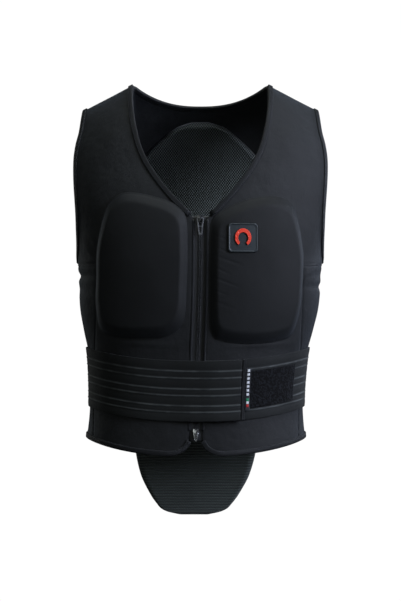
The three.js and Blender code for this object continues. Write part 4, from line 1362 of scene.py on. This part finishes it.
@dataclass
class ChestPads:
    """The two raised chest pads under stretch cloth, with a slanted rim and a sewn foot."""

    seat: float = 3.1
    height: float = 10.0
    cells: int = 110
    # Share of the way from middle to edge, and share of the height there.
    dome: tuple = (
        (0.0, 1.1), (0.3, 1.09), (0.58, 1.05), (0.8, 1.0),
        (0.845, 0.97), (0.87, 0.88), (0.92, 0.6), (0.97, 0.26),
        (0.985, 0.12), (1.0, 0.1),
    )
    # Outlines: shares of the chest's half width out and of the body's height down.
    left: tuple = (
        (0.555, 0.277), (0.66, 0.292), (0.725, 0.325), (0.785, 0.42),
        (0.79, 0.51), (0.79, 0.585), (0.745, 0.655), (0.6, 0.674),
        (0.42, 0.676), (0.22, 0.668), (0.115, 0.628), (0.098, 0.53),
        (0.095, 0.42), (0.112, 0.345), (0.2, 0.31), (0.37, 0.288),
    )
    right: tuple = (
        (0.56, 0.287), (0.68, 0.302), (0.735, 0.335), (0.785, 0.435),
        (0.785, 0.52), (0.77, 0.6), (0.715, 0.665), (0.6, 0.684),
        (0.42, 0.69), (0.2, 0.683), (0.1, 0.655), (0.08, 0.54),
        (0.08, 0.41), (0.1, 0.352), (0.2, 0.322), (0.37, 0.296),
    )
    # Creases of the cover, as (across, level) from end to end.
    creases: tuple = (
        Fold((22.0, -222.0), (58.0, -236.0), 2.2, -0.45),
        Fold((20.0, -238.0), (50.0, -251.0), 1.8, -0.4),
        Fold((20.0, -252.0), (66.0, -268.0), 2.4, -0.5),
        Fold((18.0, -268.0), (46.0, -281.0), 1.8, -0.4),
        Fold((18.0, -284.0), (60.0, -300.0), 2.2, -0.45),
        Fold((18.0, -303.0), (44.0, -313.0), 1.8, -0.4),
        Fold((18.0, -320.0), (58.0, -334.0), 2.4, -0.45),
        Fold((20.0, -338.0), (40.0, -346.0), 1.8, -0.35),
        Fold((-70.0, -380.5), (-130.0, -376.0), 3.0, -0.5),
        Fold((60.0, -384.0), (128.0, -380.0), 3.0, -0.5),
    )

    def crease(self, spot: Vector) -> float:
        """Depth of the cover's creases at a spot (across, level)."""
        depth = noise.noise(Vector((spot.x, spot.y, 0.0)) / 42.0) * 0.4
        for fold in self.creases:
            if spot.x * fold.end[0] < 0:
                continue
            share, away = fold.near(spot)
            ease = math.sin(math.pi * (0.1 + 0.86 * share))
            beside = 0.4 * bell(away, fold.width * 2.2)
            depth += fold.height * ease * (bell(away, fold.width) - beside)
        return depth

    def pad(self, maker: Mesher, word: str, side: int, rows: Sequence[Spot]) -> bpy.types.Object:
        """Build one pad.

        Args:
            maker: Mesher with the cover's finish.
            word: left or right.
            side: -1 for the left, 1 for the right.
            rows: The pad's outline.

        Returns:
            The pad.
        """
        spots = [(out * FORM.half_width, -down * FORM.height) for out, down in rows]
        outline = Outline(spots)

        def place(u: float, v: float, face: int) -> Vector:
            """Place a spot of the square on the chest."""
            spot, ring = outline.spread(u, v)
            angle = side * FORM.across(spot.x, spot.y)
            offset = self.seat
            if face:
                relief = self.crease(Vector((side * spot.x, spot.y))) * smooth(1.0, 0.9, ring)
                offset += self.height * read_table(self.dome, ring, 1) + relief
            return FORM.off(angle, spot.y, offset)

        name, nodes = f"pad_{word}", (f"chest_pad_{word}",)
        piece = maker.sheet(name, self.cells, self.cells, place, (142.0, 222.0), nodes, None, 0.25)
        return piece

    def build(self) -> None:
        """Build both pads."""
        maker = Mesher(Finish.PAD, "pad_cover")
        for (word, side), rows in zip(SIDES, (self.left, self.right)):
            self.pad(maker, word, side, rows)


@dataclass
class BackPlate:
    """The back protector in its spacer mesh: arched top, waist and rounded tail."""

    thickness: float = 12.0
    seat: float = 1.4
    top: float = 26.0
    bottom: float = 678.0
    half_width: float = 130.0
    tail_start: float = 500.0
    rib_pitch: float = 4.6
    rib_height: float = 0.7
    edge_thickness: float = 0.45
    side_rim: float = 0.09
    end_rim: float = 0.022
    end_rows: float = 0.6
    # Half outline: share of the bottom level down, share of the half width out.
    outline: tuple = (
        (0.038, 0.1), (0.05, 0.3), (0.072, 0.46), (0.12, 0.72),
        (0.19, 0.9), (0.3, 1.0), (0.5, 0.98), (0.7, 0.87),
        (0.84, 0.775), (0.9, 0.7), (0.94, 0.6), (0.972, 0.49),
        (0.99, 0.38), (1.0, 0.16),
    )

    def build(self) -> None:
        """Build the plate."""
        maker = Mesher(Finish.MESH, "plate_mesh")
        start = self.top / self.bottom

        def place(u: float, v: float, face: int) -> Vector:
            """Place a share of the plate inside the back."""
            turn = (1 - math.cos(math.pi * v)) / 2
            share = mix(start, 1.0, mix(v, turn, self.end_rows))
            level, side = -share * self.bottom, u * 2 - 1
            across = read_table(self.outline, share, 1) * self.half_width * side
            rim = min((1 - abs(side)) / self.side_rim, min(v, 1 - v) / self.end_rim, 1.0)
            thin = mix(self.edge_thickness, 1.0, math.sqrt(max(0.0, rim * (2 - rim))))
            rib = self.rib_height * (0.5 + 0.5 * math.cos(2 * math.pi * level / self.rib_pitch))
            rib *= smooth(-self.tail_start, -self.tail_start - 20, level) * rim
            depth = self.seat + rib if face else self.seat + self.thickness * thin - rib
            return FORM.off(BACK_ANGLE - FORM.across(across, level), level, -depth)

        size = (260.0, self.bottom - self.top)
        nodes = ("back_protector",)
        piece = maker.sheet("back_plate", 70, 620, place, size, nodes, None, 0.0)


@dataclass
class KidneyBelt:
    """The ribbed kidney belt: two wings, the end strip, the fastener and the label strip."""

    height: float = 94.0
    side_level: float = 441.0
    front_sag: float = 18.5
    back_sag: float = 8.0
    seat: float = 3.7
    thickness: float = 2.4
    rib: float = 0.9
    over_end: float = 71.0
    under_end: float = 12.0
    patch_start: float = 50.0
    patch_end: float = 144.0
    patch_height: float = 57.0
    patch_thickness: float = 1.6
    hook_thickness: float = 1.2
    label_width: float = 7.0
    label_height: float = 66.0
    ribs: tuple = (0.172, 0.287, 0.464, 0.574, 0.743, 0.848)
    rib_half: float = 0.012
    flat_width: float = 0.099
    swell: float = 0.55
    wave: float = 0.3
    end_width: float = 5.0
    climb: tuple = (-60.0, 30.0)

    @property
    def lift(self) -> float:
        """Height by which the over wing climbs on to the under wing and its patches."""
        stack = self.thickness + self.rib + self.patch_thickness + self.hook_thickness
        return stack + 4 * PIECE_GAP

    def middle(self, angle: float) -> float:
        """Level of the belt's middle line."""
        turn = math.cos(math.radians(angle))
        sag = self.front_sag if turn > 0 else self.back_sag
        return -self.side_level - sag * turn * turn

    def point(self, angle: float, share: float, offset: float) -> Vector:
        """Point of the belt at a share of its height from the top."""
        return FORM.off(angle, self.middle(angle) + self.height * (0.5 - share), offset)

    def over_seat(self, angle: float) -> float:
        """Seat of the over wing, which climbs on to the under wing near the front."""
        across = FORM.point(angle, self.middle(angle)).x if angle > -90 else -FORM.half_width
        return self.seat + self.lift * smooth(*self.climb, across)

    def at(self, across: float) -> float:
        """Angle of a distance across the belt's front."""
        return FORM.across(across, self.middle(0.0))

    def crest(self, share: float) -> float:
        """How far a share of the belt's height lies on a rib, from 0 to 1."""
        near = min(abs(share - rib) for rib in self.ribs)
        return bell(near, self.rib_half)

    def relief(self, share: float) -> float:
        """Height of the elastic: its ribs, and the soft swell between them."""
        stops = (0.0, *self.ribs, 1.0)
        swell = 0.0
        for low, high in zip(stops, stops[1:]):
            if low <= share <= high:
                swell = math.sin(math.pi * (share - low) / (high - low))
        return self.rib * self.crest(share) + self.swell * (swell - 1.0)

    def wing(
        self,
        maker: Mesher,
        name: str,
        node: str,
        ends: Spot,
        seat: Callable[[float], float],
        length: float,
    ) -> bpy.types.Object:
        """Build one wing of the belt.

        Args:
            maker: Mesher with the elastic's finish.
            name: The wing's name.
            node: The CAD node that it stands for.
            ends: Angles where it starts and ends.
            seat: Gives the height of its inner face off the form at an angle.
            length: Its length along the cloth.

        Returns:
            The wing.
        """

        def place(u: float, v: float, face: int) -> Vector:
            """Place a share of the wing round the waist."""
            angle = mix(ends[0], ends[1], v)
            offset = seat(angle)
            if face:
                point = self.point(angle, u, 0.0)
                wave = noise.noise(Vector((point.x / 30.0, point.y / 30.0, u * 2.0)))
                offset += self.thickness + self.relief(u) + self.wave * wave * (1 - self.crest(u))
            return self.point(angle, u, offset)

        size = (self.height, length)
        crest = {"crest": lambda u, v: self.crest(u)}
        piece = maker.sheet(name, 94, 210, place, size, (node,), None, 0.5, crest)
        return piece

    def strip(
        self,
        maker: Mesher,
        name: str,
        nodes: Sequence[str],
        span: Spot,
        shares: Spot,
        seat: float,
        thickness: float,
        cells: tuple[int, int] = (24, 24),
        rough: float = 0.0,
        keep: Optional[Callable[[float, float], bool]] = None,
        edge: float = 0.25,
    ) -> bpy.types.Object:
        """Build a strip or patch that lies on the belt.

        Args:
            maker: Mesher with its finish.
            name: Its name.
            nodes: CAD nodes that it stands for.
            span: Distances across where it starts and ends.
            shares: Shares of the belt's height where it starts and ends.
            seat: Height of its underside off the form.
            thickness: Its thickness.
            cells: Faces up and across.
            rough: Height of a fuzzy surface.
            keep: Says which shares it covers, or None for all.
            edge: Width of the rounding of its edges.

        Returns:
            The strip.
        """

        def place(u: float, v: float, face: int) -> Vector:
            """Place a share of the strip on the belt."""
            angle = self.at(mix(span[0], span[1], v))
            offset = seat + thickness * face
            if face and rough:
                point = Vector((u * 57.0, v * 94.0, 0.0))
                rim = min(u, 1 - u, v, 1 - v) * 20.0
                fuzz = noise.noise(point / 1.3) * 0.7 + noise.noise(point / 4.5) * 0.5
                offset += rough * fuzz * clamp(rim, 0.0, 1.0)
            return self.point(angle, mix(shares[0], shares[1], u), offset)

        size = ((shares[1] - shares[0]) * self.height, span[1] - span[0])
        return maker.sheet(name, cells[0], cells[1], place, size, nodes, keep, edge)

    def label(self, seat: float) -> None:
        """Build the label strip with plain bars in place of words."""
        start = self.over_end + 1.5
        half = self.label_height / self.height / 2
        ground = Mesher(Finish.LABEL, "label")
        shares = (0.5 - half, 0.5 + half)
        span = (start, start + self.label_width)
        self.strip(ground, "label_strip", ("belt_label",), span, shares, seat, 0.6, (30, 4))
        top = seat + 0.62
        bars = (0.5 - half * 0.94, 0.5 + half * 0.36)

        def bar(u: float, v: float) -> bool:
            """Keep the plain bars and leave gaps between them."""
            return (u * 7.0) % 1.0 < 0.68

        white = Mesher(Finish.WHITE, "label")
        inner = (start + 1.6, start + self.label_width - 1.6)
        self.strip(white, "label_bars", (), inner, bars, top, 0.15, (56, 3), keep=bar, edge=0.0)
        colours = ((Finish.GREEN, 0.42), (Finish.WHITE, 0.56), (Finish.RED, 0.70))
        for finish, share in colours:
            low = 0.5 + half * share
            place = (low, low + half * 0.13)
            name = f"label_stripe_{finish.name.lower()}"
            paint = Mesher(finish, "label")
            self.strip(paint, name, (), inner, place, top, 0.15, (4, 3), edge=0.0)

    def build(self) -> None:
        """Build the belt."""
        elastic = Mesher(Finish.ELASTIC, "belt_elastic")
        seam = FORM.angle_of(PIECE_GAP / 2, BACK_ANGLE, -self.side_level)
        over_end = self.over_end - self.end_width - PIECE_GAP
        ends = (-BACK_ANGLE + seam, self.at(over_end))
        self.wing(elastic, "over_wing", "belt_over_wing", ends, self.over_seat, 540.0)
        ends = (self.at(self.under_end), BACK_ANGLE - seam)
        self.wing(elastic, "under_wing", "belt_under_wing", ends, lambda angle: self.seat, 460.0)
        binding = Mesher(Finish.BINDING, "binding")
        half = (self.height + 1.0) / self.height / 2
        patch_half = self.patch_height / self.height / 2
        self.strip(
            binding,
            "end_strip",
            ("belt_end_binding",),
            (over_end + PIECE_GAP, self.over_end),
            (0.5 - half, 0.5 + half),
            self.seat + self.lift - 0.2,
            self.thickness + 1.2,
            (60, 6),
            edge=0.9,
        )
        patch_seat = self.seat + self.thickness + self.rib + PIECE_GAP
        pile = Mesher(Finish.PILE, "loop_pile")
        shares = (0.5 - patch_half, 0.5 + patch_half)
        span = (self.patch_start, self.patch_end)
        patch = (patch_seat, self.patch_thickness, (110, 180), 0.35)
        self.strip(pile, "loop_patch", ("belt_loop_patch",), span, shares, *patch, edge=0.3)
        hook_seat = patch_seat + self.patch_thickness + PIECE_GAP
        shares = (0.5 - patch_half + 0.032, 0.5 + patch_half - 0.032)
        span = (self.patch_start + 1, self.over_end - 7)
        hook = (hook_seat, self.hook_thickness, (60, 20), 0.1)
        self.strip(pile, "hook_patch", ("belt_hook_patch",), span, shares, *hook)
        self.label(hook_seat)


@dataclass
class Zip:
    """The open-ended zip: woven tapes, coil teeth, two sliders and their pulls."""

    tape_half: float = 18.0
    tape_thickness: float = 1.0
    top_slider: float = 196.0
    bottom_slider: float = 524.0
    slider_length: float = 13.0
    tooth_pitch: float = 1.5
    tooth_side: float = 1.55
    tooth_rise: float = 1.05
    tooth_tilt: float = 9.0
    tooth_size: tuple = (1.45, 0.5, 0.95, 1.0)
    end_past: float = 2.0
    cord_at: float = 5.4
    cord_width: float = 0.5
    cord_rise: float = 0.24
    rounding: float = 0.00032
    flat_width: float = 0.019

    def tape(self, maker: Mesher, word: str, side: int) -> bpy.types.Object:
        """Build one tape, from the neck to the hem."""

        def place(u: float, v: float, face: int) -> Vector:
            """Place a share of the tape behind the zip's opening."""
            level = mix(-FORM.neck_depth - self.end_past, -FORM.side_hem + self.end_past, v)
            angle = side * FORM.across(mix(PIECE_GAP / 2, self.tape_half, u), level)
            cord = self.cord_rise * bell(u * self.tape_half - self.cord_at, self.cord_width)
            return FORM.off(angle, level, -PIECE_GAP + (cord if face else -self.tape_thickness))

        size, nodes = (self.tape_half, 344.0), (f"zip_tape_{word}",)
        piece = maker.sheet(f"tape_{word}", 36, 130, place, size, nodes, None, 0.0)
        return piece

    def coil(self, maker: Mesher) -> bpy.types.Object:
        """Build both rows of the coil's teeth."""
        half = self.slider_length / 2 + PIECE_GAP
        top, bottom = self.top_slider + half, self.bottom_slider - half
        count = int((bottom - top) / self.tooth_pitch)
        bm = bmesh.new()
        bm.loops.layers.uv.new("cloth")
        for number in range(count):
            for side in (-1, 1):
                shift = 0.25 if side > 0 else 0.75
                level = -top - (number + shift) * self.tooth_pitch
                up = FORM.outward(0.0, level)
                middle = FORM.point(0.0, level) + up * self.tooth_rise
                middle.x += side * self.tooth_side
                right = Vector((1.0, 0.0, 0.0))
                turn = Matrix((right, up.cross(right), up)).transposed().to_4x4()
                tilt = Matrix.Rotation(math.radians(side * self.tooth_tilt), 4, "Z")
                size = Matrix.Diagonal(self.tooth_size)
                place = Matrix.Translation(middle) @ turn @ tilt @ size
                bmesh.ops.create_icosphere(bm, subdivisions=1, radius=1.0, matrix=place)
        return maker.finish(bm, "coil_teeth", ("zip_coil",))

    def fitting(self, node: str, name: str, body: str, slot: str, finish: Finish) -> None:
        """Round the edges of a slider or pull and dress it.

        Args:
            node: The CAD node whose shape it keeps.
            name: The piece's name.
            body: The body that it rides on.
            slot: Its material slot.
            finish: Its finish.
        """
        source = bpy.data.objects[node]
        bm = bmesh.new()
        bm.from_mesh(source.data)
        bmesh.ops.transform(bm, matrix=source.matrix_world, verts=bm.verts)
        bmesh.ops.remove_doubles(bm, verts=bm.verts, dist=1e-6)
        bmesh.ops.dissolve_limit(
            bm, angle_limit=math.radians(2.0), verts=bm.verts, edges=bm.edges
        )
        sharp = [edge for edge in bm.edges if edge.calc_face_angle(0.0) > math.radians(30)]
        bmesh.ops.bevel(
            bm,
            geom=sharp,
            offset=self.rounding,
            offset_type="OFFSET",
            segments=2,
            profile=0.5,
            affect="EDGES",
            material=-1,
            clamp_overlap=True,
        )
        bmesh.ops.scale(bm, vec=Vector((1.0, 1.0, 1.0)) / MM, verts=bm.verts)
        bmesh.ops.recalc_face_normals(bm, faces=bm.faces)
        piece = Mesher(finish, slot, body).finish(bm, name, (node,))
        for edge in piece.data.edges:
            edge.use_edge_sharp = False

    def build(self) -> None:
        """Build the zip."""
        weave = Mesher(Finish.TAPE, "zip_tape")
        for word, side in SIDES:
            self.tape(weave, word, side)
        self.coil(Mesher(Finish.COIL, "zip_coil"))
        for fitting in (
            ("zip_slider_top", "slider_upper", VEST, "zip_black", Finish.BLACK),
            ("zip_pull_top", "pull_upper", TOP_PULL, "zip_black", Finish.PULL),
            ("zip_slider_bottom", "slider_lower", VEST, "zip_silver", Finish.SILVER),
            ("zip_pull_bottom", "pull_lower", BOTTOM_PULL, "zip_silver", Finish.SILVER),
        ):
            self.fitting(*fitting)


@dataclass
class Badge:
    """The square moulded badge on the viewer's right pad, with a plain raised horseshoe."""

    size: float = 43.0
    corner: float = 5.0
    thickness: float = 2.0
    across: float = 63.0
    level: float = 226.0
    seat: float = 14.4
    radius: float = 9.5
    band: float = 5.0
    emblem_thickness: float = 1.0
    turn: float = 145.0
    stretch: float = 1.15
    nails: int = 3
    nail_start: float = 0.14
    nail_pitch: float = 0.12
    nail_depth: float = 0.55
    emblem_sink: float = 0.6
    toe_taper: float = 0.22
    # Share of the way from middle to edge, and share of the thickness there.
    rim: tuple = ((0.0, 0.62), (0.86, 0.62), (0.89, 0.66), (0.93, 0.98), (0.975, 0.98), (1.0, 0.6))

    def point(self, x: float, y: float, offset: float) -> Vector:
        """Point over the badge's middle, on the pad's curve."""
        level = -self.level + y
        return FORM.off(FORM.across(self.across + x, level), level, offset)

    def square(self) -> Outline:
        """Rounded square outline, clockwise from the top."""
        side = self.size / 2
        inner = side - self.corner
        spots = [(0, side)]
        for x, y in ((1, 1), (1, -1), (-1, -1), (-1, 1)):
            for step in range(5):
                turn = math.radians(22.5 * step)
                out = (math.sin(turn), math.cos(turn))
                if x != y:
                    out = out[::-1]
                reach = [inner + self.corner * part for part in out]
                spots.append((x * reach[0], y * reach[1]))
            spots.append((side, 0) if x == y == 1 else (0, -side) if x == 1 else (-side, 0))
        return Outline(spots[:-1])

    def build(self) -> None:
        """Build the badge and its emblem."""
        square = self.square()

        def place(u: float, v: float, face: int) -> Vector:
            """Place a spot of the badge."""
            spot, ring = square.spread(u, v)
            high = self.thickness * read_table(self.rim, ring, 1) if face else 0.0
            return self.point(spot.x, spot.y, self.seat + high)

        rubber = Mesher(Finish.RUBBER, "badge")
        rubber.sheet("badge_plate", 64, 64, place, (43.0, 43.0), ("badge",), None, 0.2)

        def shoe(u: float, v: float, face: int) -> Vector:
            """Place a share of the horseshoe."""
            turn = math.radians(mix(-self.turn, self.turn, v))
            wide = self.band * (1.0 - self.toe_taper * abs(v * 2 - 1) ** 2)
            out = self.radius + (u - 0.5) * wide
            high = 0.0
            if face:
                high = self.emblem_thickness
                for nail in range(self.nails):
                    for half in (-1, 1):
                        share = half * (self.nail_start + self.nail_pitch * nail)
                        near = (v - 0.5 - share) * 2 * self.turn / DEGREES_A_RADIAN
                        hole = bell(near * self.radius, 0.7) * bell((u - 0.5) * self.band, 0.9)
                        high -= self.nail_depth * hole
            offset = self.seat + self.thickness + PIECE_GAP - self.emblem_sink * (1 - face) + high
            return self.point(out * math.sin(turn), out * self.stretch * math.cos(turn), offset)

        paint = Mesher(Finish.EMBLEM, "emblem")
        paint.sheet("horseshoe", 16, 120, shoe, (5.0, 50.0), ("badge_emblem",), None, 0.3)


@dataclass
class Studio:
    """Plain pale floor, soft studio lights and the photograph's camera."""

    distance: float = 2.5
    eye_level: float = -0.3208
    floor_level: float = -1.25
    floor_radius: float = 1.7
    dome_radius: float = 14.0
    even_light: float = 0.05

    def floor(self) -> None:
        """Lay the floor."""
        shader = Shader("studio_floor")
        fine = shader.noise(3.0, 2.0)
        pale = shader.colour(fine, (0.86, 0.86, 0.86), (0.92, 0.92, 0.92))
        shader.wear(Base_Color=pale, Emission_Color=pale, Emission_Strength=0.8, Roughness=0.9)
        bm = bmesh.new()
        bmesh.ops.create_circle(bm, cap_ends=True, segments=96, radius=self.floor_radius)
        bmesh.ops.translate(bm, vec=Vector((0.0, 0.0, self.floor_level)), verts=bm.verts)
        self.stand("floor", bm, shader.material)

    def dome(self) -> None:
        """Surround the studio with a plain pale backdrop that casts no light of its own."""
        shader = Shader("studio_backdrop")
        shader.wear(Base_Color=(0.0, 0.0, 0.0, 1.0), Emission_Color=(1.0, 1.0, 1.0, 1.0))
        shader.wear(Emission_Strength=1.02, Specular_IOR_Level=0.0, Roughness=1.0)
        bm = bmesh.new()
        bmesh.ops.create_icosphere(bm, subdivisions=4, radius=self.dome_radius)
        self.stand("backdrop", bm, shader.material)

    def sky(self) -> None:
        """Fill the studio with weak even light."""
        world = bpy.data.worlds.new("studio")
        world.use_nodes = True
        bpy.context.scene.world = world
        world.node_tree.nodes["Background"].inputs["Color"].default_value = (0.9, 0.95, 1.0, 1.0)
        world.node_tree.nodes["Background"].inputs["Strength"].default_value = self.even_light

    def stand(self, name: str, bm: bmesh.types.BMesh, material: bpy.types.Material) -> None:
        """Stand a stage piece, seen by the camera alone, in the studio."""
        mesh = bpy.data.meshes.new(name)
        bm.to_mesh(mesh)
        bm.free()
        mesh.materials.append(material)
        piece = bpy.data.objects.new(name, mesh)
        piece.visible_diffuse = piece.visible_glossy = piece.visible_shadow = False
        bpy.context.scene.collection.objects.link(piece)
        piece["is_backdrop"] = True

    def lamp(
        self,
        name: str,
        at: Sequence[float],
        aim: Sequence[float],
        size: Spot,
        watts: float,
        tint: tuple,
    ) -> None:
        """Hang one soft box.

        Args:
            name: Its name.
            at: Where it hangs.
            aim: Where it points.
            size: Its width and height.
            watts: Its power.
            tint: Its colour.
        """
        light = bpy.data.lights.new(name, "AREA")
        light.shape = "RECTANGLE"
        light.size, light.size_y = size
        light.energy = watts
        light.color = tint
        lamp = bpy.data.objects.new(name, light)
        lamp.location = at
        lamp.rotation_euler = (Vector(aim) - Vector(at)).to_track_quat("-Z", "Y").to_euler()
        bpy.context.scene.collection.objects.link(lamp)

    def camera(self) -> None:
        """Set up the photograph's camera."""
        data = bpy.data.cameras.new("camera")
        data.lens = 93.6
        data.sensor_width = 36.0
        data.clip_end = 50.0
        camera = bpy.data.objects.new("camera", data)
        camera.location = (0.0, -self.distance, self.eye_level)
        camera.rotation_euler = (math.radians(90.0), 0.0, 0.0)
        bpy.context.scene.collection.objects.link(camera)
        bpy.context.scene.camera = camera

    def build(self) -> None:
        """Build the studio."""
        self.floor()
        self.dome()
        self.sky()
        self.camera()
        aim = (0.0, 0.0, -0.3)
        self.lamp("key", (1.9, -1.2, 0.55), aim, (0.9, 1.5), 70.0, (0.75, 0.81, 1.0))
        self.lamp("top", (0.1, -0.4, 1.5), aim, (1.2, 0.7), 14.0, (0.93, 1.0, 0.97))
        self.lamp("fill", (-0.9, -2.2, 0.3), aim, (0.9, 1.2), 4.5, (0.94, 1.0, 0.94))
        self.lamp("rim_right", (2.2, 1.4, 0.4), aim, (0.8, 1.4), 20.0, (0.74, 0.82, 1.0))
        self.lamp("rim_left", (-2.2, 1.6, 0.3), aim, (0.8, 1.4), 5.0, (0.95, 1.0, 0.97))
        bpy.context.scene.view_settings.view_transform = "Standard"


def main() -> None:
    """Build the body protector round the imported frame."""
    logging.basicConfig(level=logging.INFO, format="%(name)s: %(message)s")
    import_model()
    for kind in (Studio, Panels, Bindings, ChestPads, BackPlate, KidneyBelt, Zip, Badge):
        assembly = kind()
        assembly.build()
        LOG.info("%s built", type(assembly).__name__)
    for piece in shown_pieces():
        LOG.info("%s: %d faces", piece.name, len(piece.data.polygons))


if __name__ == "__main__":
    main()
